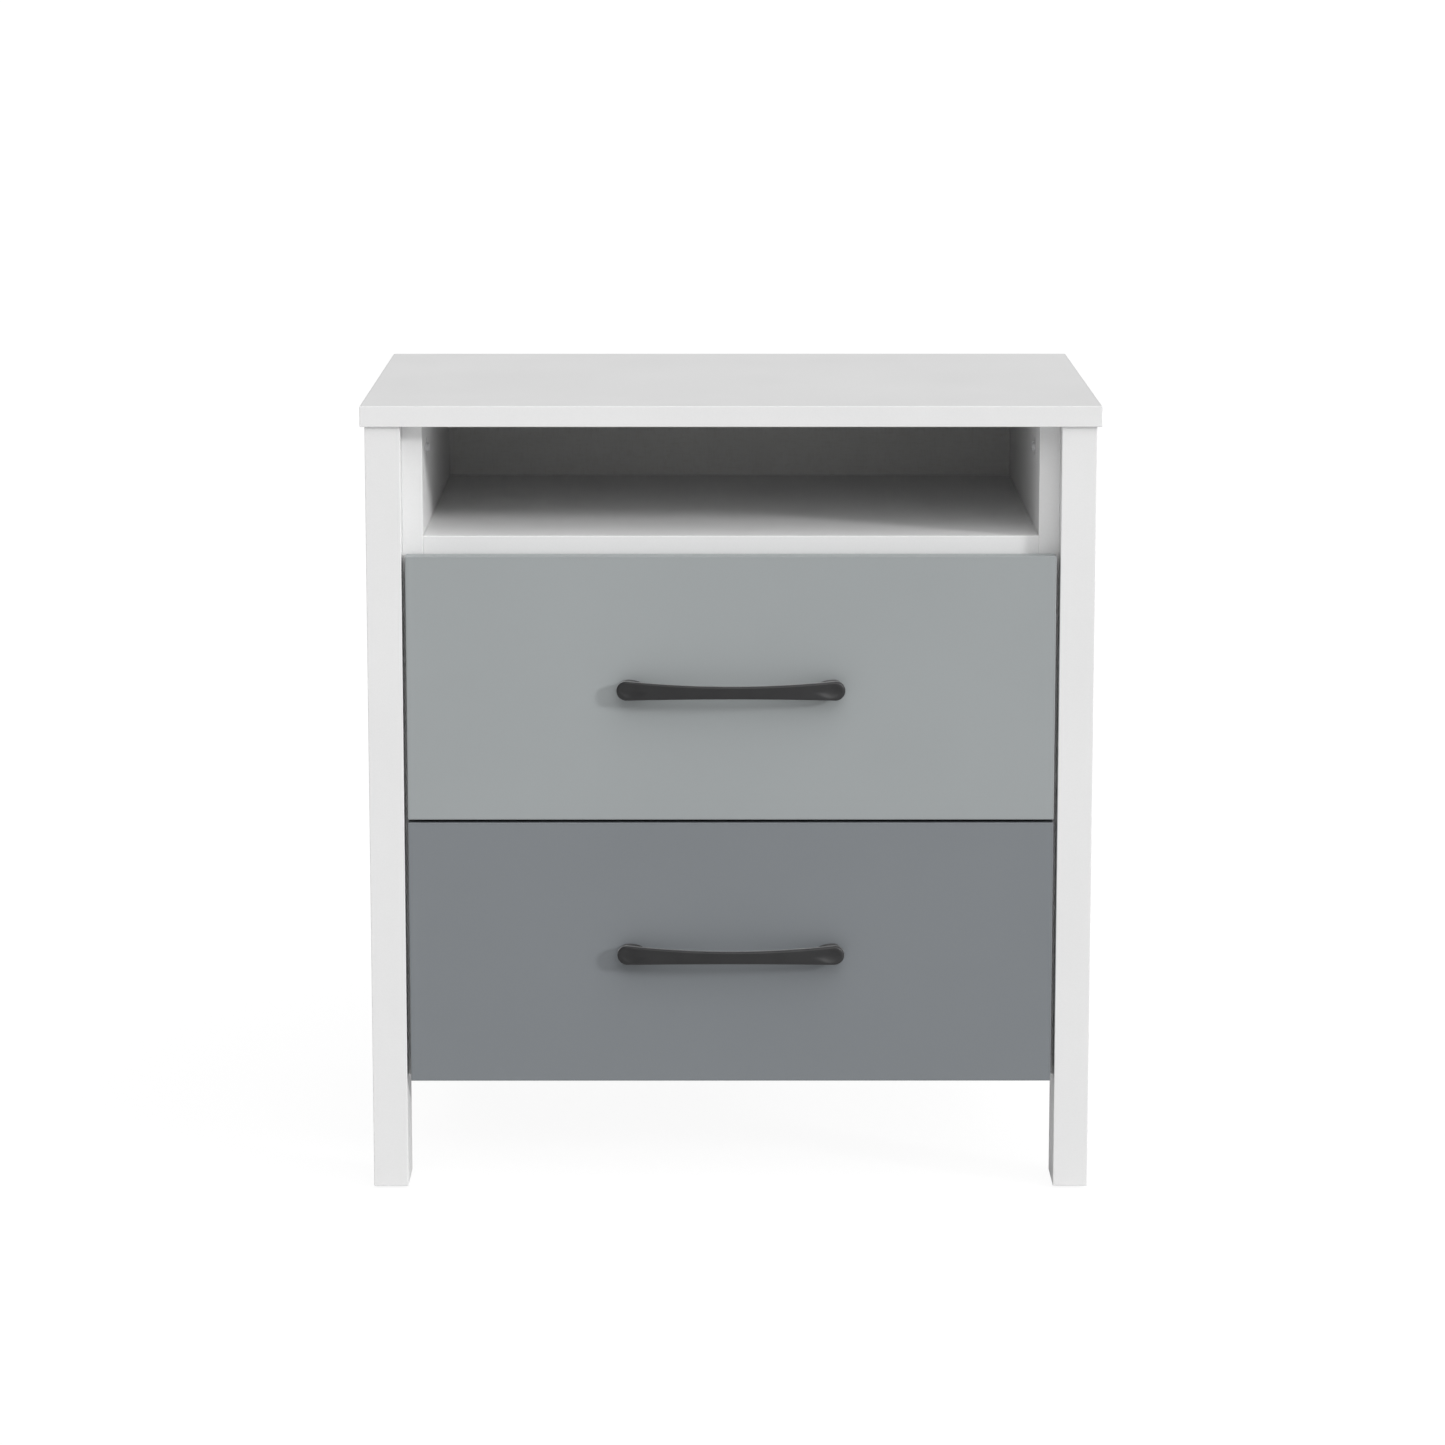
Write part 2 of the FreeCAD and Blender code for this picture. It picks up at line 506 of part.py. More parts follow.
def handle(height):
    """Bow handle: a bar that is waisted and bowed outward, on two swept feet."""
    end = HANDLE_END_CENTRE + HANDLE_END_RADIUS
    inner_depth = HANDLE_REACH - HANDLE_THICKNESS

    def bow(depth):
        """Arc through both ends and the middle of the bow."""
        return Part.Arc(Vec(-end, bow_edge(depth, end), 0), Vec(0, FACE - depth, 0),
                        Vec(end, bow_edge(depth, end), 0)).toShape()

    outer, inner = bow(HANDLE_REACH), bow(inner_depth)
    caps = [Part.makeLine(Vec(s * end, bow_edge(HANDLE_REACH, end), 0),
                          Vec(s * end, bow_edge(inner_depth, end), 0)) for s in (-1, 1)]
    plan = Part.Face(Part.Wire(Part.__sortEdges__([outer, inner] + caps)))
    plan.translate(UP * (height - HANDLE_END_RADIUS - 1))
    swept = plan.extrude(UP * (2 * HANDLE_END_RADIUS + 2))

    def corner(s, t):
        """Where a rounded end meets the long waisted edge."""
        return Vec(s * HANDLE_END_CENTRE, 0, height + t * HANDLE_END_RADIUS)

    edges = [Part.Arc(corner(-1, t), Vec(0, 0, height + t * HANDLE_WAIST), corner(1, t)).toShape()
             for t in (1, -1)]
    edges += [Part.Arc(corner(s, 1), Vec(s * end, 0, height), corner(s, -1)).toShape() for s in (-1, 1)]
    outline = Part.Face(Part.Wire(Part.__sortEdges__(edges)))
    outline.translate(BACKWARD * (FACE - HANDLE_REACH - 1))
    bar = swept.common(outline.extrude(BACKWARD * (HANDLE_REACH + 1)))
    bar = bar.makeFillet(HANDLE_ROUND, bar.Edges)

    foot_length = HANDLE_REACH - HANDLE_BOW - HANDLE_THICKNESS / 2
    foot = Part.makeLoft([foot_outline(FOOT_BASE, 0, height),
                          foot_outline(FOOT_NECK, foot_length, height)], True, True)
    threads = [rod(Vec(x, FACE, height), BACKWARD * -1, HANDLE_SCREW_RADIUS + HOLE_PLAY,
                   HANDLE_THREAD_DEPTH) for x in HANDLE_FEET]
    return fused([bar, foot, mirrored(foot)]).cut(threads)


def handle_screws(height):
    """Pan-headed screws from inside the drawer through the front into the handle's feet."""
    reach = BOARD + HANDLE_THREAD_DEPTH - HOLE_EXTRA
    screws = []
    for x in HANDLE_FEET:
        start = Vec(x, FRONT_REAR, height)
        head = rod(start, BACKWARD, HANDLE_SCREW_HEAD_RADIUS, HANDLE_SCREW_HEAD_HEIGHT)
        shank = rod(start, BACKWARD * -1, HANDLE_SCREW_RADIUS, reach)
        screws.append(fused([head, shank]))
    return screws


# ---------------------------------------------------------------- assembly
PIECES = {}


def add(name, solids):
    """Keep one node: a single solid, or a group of separate solids."""
    PIECES[name] = Part.makeCompound(solids) if isinstance(solids, list) else solids


def add_pair(pattern, left):
    """Keep a left-hand piece and its mirror image."""
    add(pattern.format("left"), left)
    add(pattern.format("right"), mirrored(left))


def add_carcass():
    """The body between the legs, the legs and what fastens them."""
    bolts, cams, dowels, drilled = carcass_fittings()
    nail_holes = back_panel_nails(HOLE_PLAY)
    depth = (CARCASS_FRONT, CARCASS_REAR)
    between = (-SIDE_INNER, SIDE_INNER)
    top = board((-TOP_WIDTH / 2, TOP_WIDTH / 2), (TOP_FRONT, REAR), (TOP_UNDERSIDE, HEIGHT))
    shelf = board(between, depth, (SHELF_UNDERSIDE, SHELF_UNDERSIDE + BOARD))
    bottom = board(between, depth, (CARCASS_UNDERSIDE, CARCASS_UNDERSIDE + BOARD))
    back_half = LEG_INNER - BACK_SIDE_GAP
    back = block((-back_half, back_half), (CARCASS_REAR, CARCASS_REAR + BACK_BOARD),
                 (CARCASS_UNDERSIDE + 1, TOP_UNDERSIDE - 1))
    add("top_panel", top.cut(drilled["top"]))
    add("shelf_panel", shelf.cut(drilled["shelf"] + nail_holes))
    add("bottom_panel", bottom.cut(drilled["bottom"] + nail_holes))
    add("back_panel", back.cut(nail_holes))
    rail_holes = []
    for front_top in FRONT_TOPS.values():
        rail_holes += cabinet_rail_screws(rail_foot(front_top), HOLE_PLAY)
    for name, side in SIDES.items():
        panel = board(span(side, SIDE_INNER, LEG_INNER), depth, (CARCASS_UNDERSIDE, TOP_UNDERSIDE))
        rails = rail_holes if side < 0 else [mirrored(hole) for hole in rail_holes]
        holes = drilled[name] + nail_holes + rails + leg_screws(side, HOLE_PLAY)
        add(name + "_side_panel", panel.cut(holes))
        add("front_{}_leg".format(name), leg(side, front=True))
        add("rear_{}_leg".format(name), leg(side, front=False))
    add("foot_glides", [foot_glide(side, front) for side in SIDES.values() for front in (True, False)])
    add("cam_bolts", bolts)
    add("cam_locks", cams)
    add("wood_dowels", dowels)
    add("leg_screws", leg_screws(-1) + leg_screws(1))
    add("back_panel_nails", back_panel_nails())


def add_cabinet_rails():
    """Cabinet halves of the roller slides, on both side panels."""
    screws, rivets = [], []
    for drawer, front_top in FRONT_TOPS.items():
        prefix = drawer.split("_")[0]
        foot = rail_foot(front_top)
        left_screws = cabinet_rail_screws(foot)
        holes = cabinet_rail_screws(foot, HOLE_PLAY) + [cabinet_rivet(foot, HOLE_PLAY)]
        rail = cabinet_rail(foot).cut(holes)
        wheel = roller(foot, CABINET_ROLLER_Y, CABINET_ROLLER_HEIGHT, CABINET_ROLLER_SPAN)
        add_pair(prefix + "_{}_cabinet_rail", rail)
        add_pair(prefix + "_{}_cabinet_roller", wheel)
        screws += left_screws + [mirrored(screw) for screw in left_screws]
        rivets += [cabinet_rivet(foot), mirrored(cabinet_rivet(foot))]
    add("cabinet_rail_screws", screws)
    add("cabinet_roller_rivets", rivets)


def add_drawer(drawer, front_top):
    """One drawer: box, front, handle, and the drawer halves of its slides."""
    bottom = front_top - FRONT_HEIGHT
    base = bottom + BOX_ABOVE_FRONT_BOTTOM
    foot = rail_foot(front_top)
    handle_height = front_top - FRONT_HEIGHT / 2
    bolts, cams, in_front, in_side = drawer_cams(base)
    rail_holes = drawer_rail_screws(foot, HOLE_PLAY) + [drawer_rivet(foot, HOLE_PLAY)]
    rail = drawer_rail(foot).cut(rail_holes)
    wheel = roller(foot, DRAWER_ROLLER_Y, DRAWER_ROLLER_HEIGHT, DRAWER_ROLLER_SPAN)
    add(drawer + "_front", drawer_front(bottom, base, in_front, handle_height))
    add_pair(drawer + "_{}_side", drawer_side(base, foot, in_side))
    add(drawer + "_back", drawer_back(base))
    add(drawer + "_bottom", drawer_bottom(base))
    add(drawer + "_handle", handle(handle_height))
    add(drawer + "_handle_screws", handle_screws(handle_height))
    add_pair(drawer + "_{}_rail", rail)
    add_pair(drawer + "_{}_roller", wheel)
    left_hand = {"_cam_bolts": bolts, "_cam_locks": cams, "_back_screws": back_screws(base),
                 "_rail_screws": drawer_rail_screws(foot), "_roller_rivets": [drawer_rivet(foot)]}
    for suffix, solids in left_hand.items():
        add(drawer + suffix, solids + [mirrored(solid) for solid in solids])


add_carcass()
add_cabinet_rails()
for drawer_name, top_of_front in FRONT_TOPS.items():
    add_drawer(drawer_name, top_of_front)

os.makedirs("parts", exist_ok=True)
for piece_name, shape in PIECES.items():
    shape.exportStep("parts/" + piece_name + ".step")
print(len(PIECES), "pieces")
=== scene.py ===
# %% [markdown]
# # A nightstand with two drawers
#
# This lesson dresses a finished furniture model. The boards, the hardware and the joints come in
# from the CAD model as a fixed frame, so nothing has to be placed by eye. What is left to do in
# Blender is what the eye looks at: crisp little fittings, honest surfaces, and soft studio light.
#
# The cells run from top to bottom. Every size is in metres, because the frame is.

# %% Load the frame
import math

import bmesh
import bpy
from mathutils import Matrix, Vector


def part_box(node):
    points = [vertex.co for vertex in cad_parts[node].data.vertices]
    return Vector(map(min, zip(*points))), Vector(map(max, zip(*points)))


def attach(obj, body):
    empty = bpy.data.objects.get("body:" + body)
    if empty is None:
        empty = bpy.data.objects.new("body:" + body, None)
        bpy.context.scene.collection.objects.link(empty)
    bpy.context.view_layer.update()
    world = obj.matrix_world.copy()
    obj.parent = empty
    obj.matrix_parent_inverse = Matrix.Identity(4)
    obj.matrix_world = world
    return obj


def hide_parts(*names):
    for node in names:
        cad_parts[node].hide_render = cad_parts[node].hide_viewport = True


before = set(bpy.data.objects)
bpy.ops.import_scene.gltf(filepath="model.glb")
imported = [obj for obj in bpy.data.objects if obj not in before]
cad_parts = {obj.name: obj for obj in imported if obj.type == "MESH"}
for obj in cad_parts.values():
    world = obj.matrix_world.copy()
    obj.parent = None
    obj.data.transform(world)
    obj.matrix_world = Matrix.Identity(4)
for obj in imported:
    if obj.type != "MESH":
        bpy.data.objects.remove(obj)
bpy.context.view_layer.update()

MM = 0.001

# %% [markdown]
# ## Camera
#
# Catalogue pictures of furniture are taken with a long lens from a few metres away, a little above
# the top, so that the front stays nearly undistorted and the top is a thin bright band. A short
# lens close by would frame the same thing, but it would spread the legs. The camera only pitches
# down, with a hair of a turn to the right, and its lens isn't shifted, so the same camera can walk
# round the piece.

# %% Camera above and in front of the nightstand
CAMERA_PLACE = (-0.0105, -3.853, 1.0317)
CAMERA_PITCH_DOWN = math.radians(10.17)
CAMERA_TURN_RIGHT = math.radians(0.063)
CAMERA_LENS = 119.5
CAMERA_SENSOR = 36
CAMERA_NEAREST, CAMERA_FARTHEST = 0.05, 500

camera_data = bpy.data.cameras.new("camera")
camera_data.lens = CAMERA_LENS
camera_data.sensor_width = CAMERA_SENSOR
camera_data.clip_start = CAMERA_NEAREST
camera_data.clip_end = CAMERA_FARTHEST
camera = bpy.data.objects.new("camera", camera_data)
bpy.context.scene.collection.objects.link(camera)
camera.location = CAMERA_PLACE
camera.rotation_euler = (math.pi / 2 - CAMERA_PITCH_DOWN, 0, -CAMERA_TURN_RIGHT)
bpy.context.scene.camera = camera
print("camera lens", camera_data.lens)

# %% [markdown]
# ## Node helpers
#
# A material in Blender is a small graph. Writing each link by hand takes many lines, so a few
# helpers make a node, set what is constant on its sockets and link what varies. A value can be a
# plain number or another node's output, and the helper tells them apart.

# %% Helpers for shader graphs
def feed(tree, socket, value):
    """Link an output to a socket, or set the socket to a plain value."""
    if isinstance(value, bpy.types.NodeSocket):
        tree.links.new(value, socket)
    elif isinstance(value, (tuple, list)) and len(value) == 3 and socket.type == "RGBA":
        socket.default_value = (*value, 1)
    else:
        socket.default_value = value


def node(tree, kind, values=None, **settings):
    """New node with its settings, then its inputs by name or by number."""
    made = tree.nodes.new("ShaderNode" + kind)
    for name, value in settings.items():
        setattr(made, name, value)
    for key, value in (values or {}).items():
        feed(tree, made.inputs[key], value)
    return made


def maths(tree, operation, first, second=0.0, third=0.0):
    """One step of arithmetic."""
    values = {0: first, 1: second, 2: third}
    return node(tree, "Math", values, operation=operation).outputs[0]


def noise(tree, place, scale, detail=2.0, rough=0.5, distortion=0.0):
    """Cloudy noise from 0 to 1."""
    values = {"Vector": place, "Scale": scale, "Detail": detail, "Roughness": rough,
              "Distortion": distortion}
    return node(tree, "TexNoise", values).outputs["Fac"]


def remap(tree, value, low, high, new_low=0.0, new_high=1.0):
    """Stretch low..high to a new range, without leaving it."""
    values = {"Value": value, "From Min": low, "From Max": high, "To Min": new_low, "To Max": new_high}
    return node(tree, "MapRange", values, clamp=True).outputs["Result"]


def blend_colours(tree, share, first, second, way="MIX"):
    """Mix two colours by a share from 0 to 1."""
    made = node(tree, "Mix", data_type="RGBA", blend_type=way)
    for socket_number, value in ((0, share), (6, first), (7, second)):
        feed(tree, made.inputs[socket_number], value)
    return made.outputs[2]


def dimmed(tree, colour, kept):
    """A colour with only a share of its brightness kept."""
    grey = node(tree, "CombineColor", {0: kept, 1: kept, 2: kept}).outputs[0]
    return blend_colours(tree, 1.0, colour, grey, way="MULTIPLY")


def scaled(tree, place, factors):
    """Stretch coordinates by a factor on each axis."""
    return node(tree, "VectorMath", {0: place, 1: factors}, operation="MULTIPLY").outputs[0]


def effect(name, inputs, outputs):
    """Empty node group with named sockets; returns its tree, its inputs and its output node."""
    kinds = {float: "NodeSocketFloat", tuple: "NodeSocketColor", Vector: "NodeSocketVector"}
    tree = bpy.data.node_groups.new(name, "ShaderNodeTree")
    for socket_name, value in inputs.items():
        made = tree.interface.new_socket(socket_name, in_out="INPUT", socket_type=kinds[type(value)])
        made.default_value = (*value, 1) if type(value) is tuple else value
    for socket_name, kind in outputs.items():
        tree.interface.new_socket(socket_name, in_out="OUTPUT", socket_type=kinds[kind])
    return tree, tree.nodes.new("NodeGroupInput").outputs, tree.nodes.new("NodeGroupOutput")


def use(tree, group, **values):
    """Place an effect in a material; spaces in socket names are written as underscores."""
    made = tree.nodes.new("ShaderNodeGroup")
    made.node_tree = group
    for name, value in values.items():
        feed(tree, made.inputs[name.replace("_", " ")], value)
    return made.outputs


def give(tree, out, **values):
    """Hand an effect's results to its outputs."""
    for name, value in values.items():
        feed(tree, out.inputs[name], value)


def object_place(tree):
    """Coordinates that stay with the piece, in metres."""
    return tree.nodes.new("ShaderNodeTexCoord").outputs["Object"]


def bump(tree, height, distance, strength):
    """Normal from a height that is given as 0 to 1 over a distance in metres."""
    made = node(tree, "Bump", {"Height": height, "Distance": distance, "Strength": strength})
    return made.outputs["Normal"]


def material_named(name):
    """The material of that name, made on first use."""
    material = bpy.data.materials.get(name)
    if material is None:
        material = bpy.data.materials.new(name)
        material.use_nodes = True
    return material


def finish_material(name, colour, roughness, normal, **constants):
    """Material with one Principled shader; constants go straight on the shader's own sockets."""
    material = material_named(name)
    tree = material.node_tree
    shader = tree.nodes["Principled BSDF"]
    feed(tree, shader.inputs["Base Color"], colour)
    feed(tree, shader.inputs["Roughness"], roughness)
    feed(tree, shader.inputs["Normal"], normal)
    for socket_name, value in constants.items():
        feed(tree, shader.inputs[socket_name.replace("_", " ")], value)
    return material


print("shader helpers are ready; materials so far:", len(bpy.data.materials))

# %% [markdown]
# ## Studio
#
# The shadows tell how the real set was lit. A small lamp low on the right draws the crisp edge of
# the handles' shadows and the slanting edge on the floor of the compartment. Two big softboxes, one
# beside the piece and one overhead, fade the light from the front of the compartment to its back.
# A dim white room fills the rest. Sun lamps give all of that without fall-off, so the sweep stays
# even to the horizon; each lamp's angle is how wide it looks from the piece.

# %% Lamps, dome and floor
# name: degrees to the right of straight ahead, degrees above the floor, width in degrees, power
LAMPS = {
    "small_lamp": (58, 18, 8, 1.22),
    "side_softbox": (75, 35, 60, 0.46),
    "top_softbox": (15, 55, 60, 1.2),
}
DOME_LOW = 0.325
DOME_HIGH = 0.45
DOME_HIGH_FROM = 0.8
FLOOR_SIZE = 200
FLOOR_LIGHT_SHARE = 0.7
FLOOR_SEEN_SHARE = 0.12
FLOOR_SEEN_GLOW = 0.92


def place_lamp(name, azimuth, elevation, width, power):
    """Sun lamp that shines on the piece from a direction given in degrees."""
    lamp = bpy.data.lights.new(name, "SUN")
    lamp.energy = power
    lamp.angle = math.radians(width)
    holder = bpy.data.objects.new(name, lamp)
    bpy.context.scene.collection.objects.link(holder)
    turn, rise = math.radians(azimuth), math.radians(elevation)
    towards = Vector((math.sin(turn) * math.cos(rise), -math.cos(turn) * math.cos(rise), math.sin(rise)))
    holder.rotation_euler = towards.to_track_quat("Z", "Y").to_euler()


def light_dome():
    """White surroundings that grow brighter with height."""
    world = bpy.data.worlds.new("dome")
    world.use_nodes = True
    bpy.context.scene.world = world
    tree = world.node_tree
    way = tree.nodes.new("ShaderNodeTexCoord").outputs["Generated"]
    height = node(tree, "SeparateXYZ", {0: way}).outputs["Z"]
    feed(tree, tree.nodes["Background"].inputs["Color"], (1, 1, 1))
    feed(tree, tree.nodes["Background"].inputs["Strength"],
         remap(tree, height, 0.0, DOME_HIGH_FROM, DOME_LOW, DOME_HIGH))


def lay_floor():
    """Pale sweep: plain white for the light, and close to white with a faint shadow to look at."""
    shape = bmesh.new()
    bmesh.ops.create_grid(shape, x_segments=1, y_segments=1, size=FLOOR_SIZE / 2)
    mesh = bpy.data.meshes.new("floor")
    shape.to_mesh(mesh)
    shape.free()
    floor = bpy.data.objects.new("floor", mesh)
    bpy.context.scene.collection.objects.link(floor)
    material = bpy.data.materials.new("floor_sweep")
    material.use_nodes = True
    tree = material.node_tree
    tree.nodes.clear()
    lit = node(tree, "BsdfDiffuse", {"Color": (FLOOR_LIGHT_SHARE,) * 3}).outputs[0]
    seen = node(tree, "BsdfDiffuse", {"Color": (FLOOR_SEEN_SHARE,) * 3}).outputs[0]
    glow = node(tree, "Emission", {"Strength": FLOOR_SEEN_GLOW}).outputs[0]
    both = node(tree, "AddShader", {0: seen, 1: glow}).outputs[0]
    looked_at = tree.nodes.new("ShaderNodeLightPath").outputs["Is Camera Ray"]
    surface = node(tree, "MixShader", {0: looked_at, 1: lit, 2: both}).outputs[0]
    feed(tree, node(tree, "OutputMaterial").inputs["Surface"], surface)
    mesh.materials.append(material)


for lamp_name, lamp_setting in LAMPS.items():
    place_lamp(lamp_name, *lamp_setting)
light_dome()
lay_floor()
bpy.context.scene.view_settings.view_transform = "Standard"
print("lamps", list(LAMPS))

# %% [markdown]
# ## Laminated boards
#
# Nearly all of this piece is chipboard under a pressed resin sheet. Seen close, the sheet isn't
# flat: it has a fine pebble like an egg shell, which is what makes it matt. Its colour is even to
# within a percent or two, and hands leave patches that are a touch smoother. The cut edges are
# covered by a glued band, and the joint shows as a hairline just inside the edge of each face.
#
# An image of this would be heavy and would repeat. Noise on object coordinates never repeats and
# needs no unwrapping, so the skin and the edges are two effects that every board shares, each
# board giving its own size.

# %% Effect: pressed resin skin
CLOUDS_PER_METRE = 7.0
HANDLING_PER_METRE = 28.0
RIPPLES_PER_METRE = 240.0
FLECK_SHARE = 0.5
PEBBLE_SHARE, RIPPLE_SHARE = 0.7, 0.3


def make_board_skin():
    """Even colour with faint clouding, handled patches and an egg-shell pebble."""
    tree, given, out = effect(
        "board_skin",
        {"Place": Vector(), "Colour": (0.8, 0.8, 0.8), "Clouding": 0.03, "Sheen Loss": 0.06,
         "Matt": 0.5, "Pebbles": 900.0},
        {"Colour": tuple, "Roughness": float, "Height": float})
    place = given["Place"]
    clouds = noise(tree, place, CLOUDS_PER_METRE, detail=3.0)
    handled = noise(tree, place, HANDLING_PER_METRE, detail=5.0, rough=0.62)
    pebbles = noise(tree, place, given["Pebbles"], detail=2.0)
    ripples = noise(tree, place, RIPPLES_PER_METRE, detail=1.0)
    shade = maths(tree, "MULTIPLY", remap(tree, clouds, 0.3, 0.7), given["Clouding"])
    fleck_strength = maths(tree, "MULTIPLY", given["Clouding"], FLECK_SHARE)
    flecks = maths(tree, "MULTIPLY", remap(tree, pebbles, 0.35, 0.65), fleck_strength)
    kept = maths(tree, "SUBTRACT", 1.0, maths(tree, "ADD", shade, flecks))
    patches = maths(tree, "MULTIPLY", remap(tree, handled, 0.4, 0.7), given["Sheen Loss"])
    pebble_height = maths(tree, "MULTIPLY", pebbles, PEBBLE_SHARE)
    give(tree, out, Colour=dimmed(tree, given["Colour"], kept),
         Roughness=maths(tree, "SUBTRACT", given["Matt"], patches),
         Height=maths(tree, "MULTIPLY_ADD", ripples, RIPPLE_SHARE, pebble_height))
    return tree


BOARD_SKIN = make_board_skin()
print(BOARD_SKIN.name, "-", len(BOARD_SKIN.nodes), "nodes")

# %% Effect: rubbed edges and the hairline of the edge band
RAGGEDNESS_PER_METRE = 130.0
STILL_ON_FACE = 0.0002
HAIRLINE_DARK, HAIRLINE_GONE = 0.00005, 0.00016


def make_board_edges():
    """Masks from how far a point lies inside a board of a given middle and half size."""
    tree, given, out = effect(
        "board_edges",
        {"Place": Vector(), "Middle": Vector(), "Half Size": Vector((0.1, 0.1, 0.1)),
         "Thin Axis": Vector((0, 0, 1)), "Rub Width": 0.0015, "Band": 0.001},
        {"Rubbed": float, "Hairline": float})
    offset = node(tree, "VectorMath", {0: given["Place"], 1: given["Middle"]}, operation="SUBTRACT")
    away = node(tree, "VectorMath", {0: offset.outputs[0]}, operation="ABSOLUTE")
    inside = node(tree, "VectorMath", {0: given["Half Size"], 1: away.outputs[0]}, operation="SUBTRACT")
    depth = inside.outputs[0]
    x, y, z = node(tree, "SeparateXYZ", {0: depth}).outputs
    least = maths(tree, "MINIMUM", maths(tree, "MINIMUM", x, y), z)
    most = maths(tree, "MAXIMUM", maths(tree, "MAXIMUM", x, y), z)
    total = maths(tree, "ADD", maths(tree, "ADD", x, y), z)
    to_edge = maths(tree, "SUBTRACT", maths(tree, "SUBTRACT", total, least), most)
    ragged = noise(tree, given["Place"], RAGGEDNESS_PER_METRE, detail=4.0, rough=0.65)
    reach = maths(tree, "MULTIPLY", given["Rub Width"], remap(tree, ragged, 0.35, 0.7, 0.3, 1.0))
    rubbed = maths(tree, "SUBTRACT", 1.0, maths(tree, "DIVIDE", to_edge, reach))
    from_face = node(tree, "VectorMath", {0: depth, 1: given["Thin Axis"]}, operation="DOT_PRODUCT")
    on_face = maths(tree, "LESS_THAN", from_face.outputs["Value"], STILL_ON_FACE)
    off_line = maths(tree, "ABSOLUTE", maths(tree, "SUBTRACT", to_edge, given["Band"]))
    line = remap(tree, off_line, HAIRLINE_DARK, HAIRLINE_GONE, 1.0, 0.0)
    give(tree, out, Rubbed=node(tree, "Clamp", {0: rubbed}).outputs[0],
         Hairline=maths(tree, "MULTIPLY", on_face, line))
    return tree


BOARD_EDGES = make_board_edges()
print(BOARD_EDGES.name, "-", len(BOARD_EDGES.nodes), "nodes")

# %% [markdown]
# ### Whites and greys
#
# The carcass, the top and the legs are one white. The two drawer fronts are two greys: the upper
# one is light, the lower one darker and a little bluer. The same function makes them all. Only the
# colour and the way the board lies change, so a board is described by its name and those two.

# %% Boards and their finishes
WHITE = (0.83, 0.83, 0.83)
LIGHT_GREY = (0.347, 0.37, 0.376)
DARK_GREY = (0.206, 0.222, 0.237)
FOIL_WHITE = (0.76, 0.76, 0.75)
LYING, FACING_FRONT, FACING_SIDE = Vector((0, 0, 1)), Vector((0, 1, 0)), Vector((1, 0, 0))
BOARD_MATT = 0.52
BAND_THICKNESS = 0.001
JOINT_SHADE = 0.752
WORN_GAIN, WORN_LIFT = 1.05, 0.01
RUBBED_SHOWS, RUBBED_SHINES = 0.5, 0.1
PEBBLE_HEIGHT, HAIRLINE_DEPTH = 0.00002, 2.0


def wear(node_name, material):
    """Put one material on every slot of a CAD node."""
    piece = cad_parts[node_name]
    if not piece.material_slots:
        piece.data.materials.append(material)
    for material_slot in piece.material_slots:
        material_slot.link = "OBJECT"
        material_slot.material = material


def edges_of(node_name, tree, place, thin_axis, **constants):
    """The edge masks of a board, sized to its CAD node."""
    low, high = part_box(node_name)
    return use(tree, BOARD_EDGES, Place=place, Middle=(low + high) / 2, Half_Size=(high - low) / 2,
               Thin_Axis=thin_axis, **constants)


def laminate(name, node_name, colour, thin_axis):
    """Resin-faced board with banded edges."""
    tree = material_named(name).node_tree
    place = object_place(tree)
    skin = use(tree, BOARD_SKIN, Place=place, Colour=colour, Matt=BOARD_MATT)
    edges = edges_of(node_name, tree, place, thin_axis, Band=BAND_THICKNESS)
    worn = tuple(min(1.0, part * WORN_GAIN + WORN_LIFT) for part in colour)
    joint = tuple(part * JOINT_SHADE for part in colour)
    rubbed, hairline = edges["Rubbed"], edges["Hairline"]
    toned = blend_colours(tree, maths(tree, "MULTIPLY", rubbed, RUBBED_SHOWS), skin["Colour"], worn)
    lined = blend_colours(tree, hairline, toned, joint)
    polish = maths(tree, "MULTIPLY", rubbed, RUBBED_SHINES)
    roughness = maths(tree, "SUBTRACT", skin["Roughness"], polish)
    groove = maths(tree, "MULTIPLY", hairline, HAIRLINE_DEPTH)
    relief = maths(tree, "SUBTRACT", skin["Height"], groove)
    return finish_material(name, lined, roughness, bump(tree, relief, PEBBLE_HEIGHT, strength=0.6))


UPRIGHT_BOARDS = ("left_side_panel", "right_side_panel", "front_left_leg", "front_right_leg",
                  "rear_left_leg", "rear_right_leg")
BOARDS = [(name, WHITE, LYING) for name in ("top_panel", "shelf_panel", "bottom_panel")]
BOARDS += [(name, WHITE, FACING_SIDE) for name in UPRIGHT_BOARDS]
BOARDS += [("upper_drawer_front", LIGHT_GREY, FACING_FRONT), ("lower_drawer_front", DARK_GREY, FACING_FRONT)]
for board_name, board_colour, board_way in BOARDS:
    wear(board_name, laminate("laminate_" + board_name, board_name, board_colour, board_way))
print("laminated boards:", len(BOARDS))

# %% [markdown]
# ## Thin sheets: the back and the drawer bottoms
#
# The back and the drawer bottoms are hardboard, pressed wood fibre painted on one side. Paint sinks
# in between the fibres, so the sheet shows short soft streaks in every direction and a broad, barely
# visible waviness. Two stretched noises laid across each other give that felted look. The drawer
# boxes are thinner boards wrapped in foil, printed and lightly embossed along their length.

# %% Effect: felted fibre
FIBRE_LENGTHWAYS, FIBRE_CROSSWAYS = (120.0, 700.0, 700.0), (700.0, 120.0, 120.0)
WAVES_PER_METRE = 16.0
WAVE_SHARE = 0.6


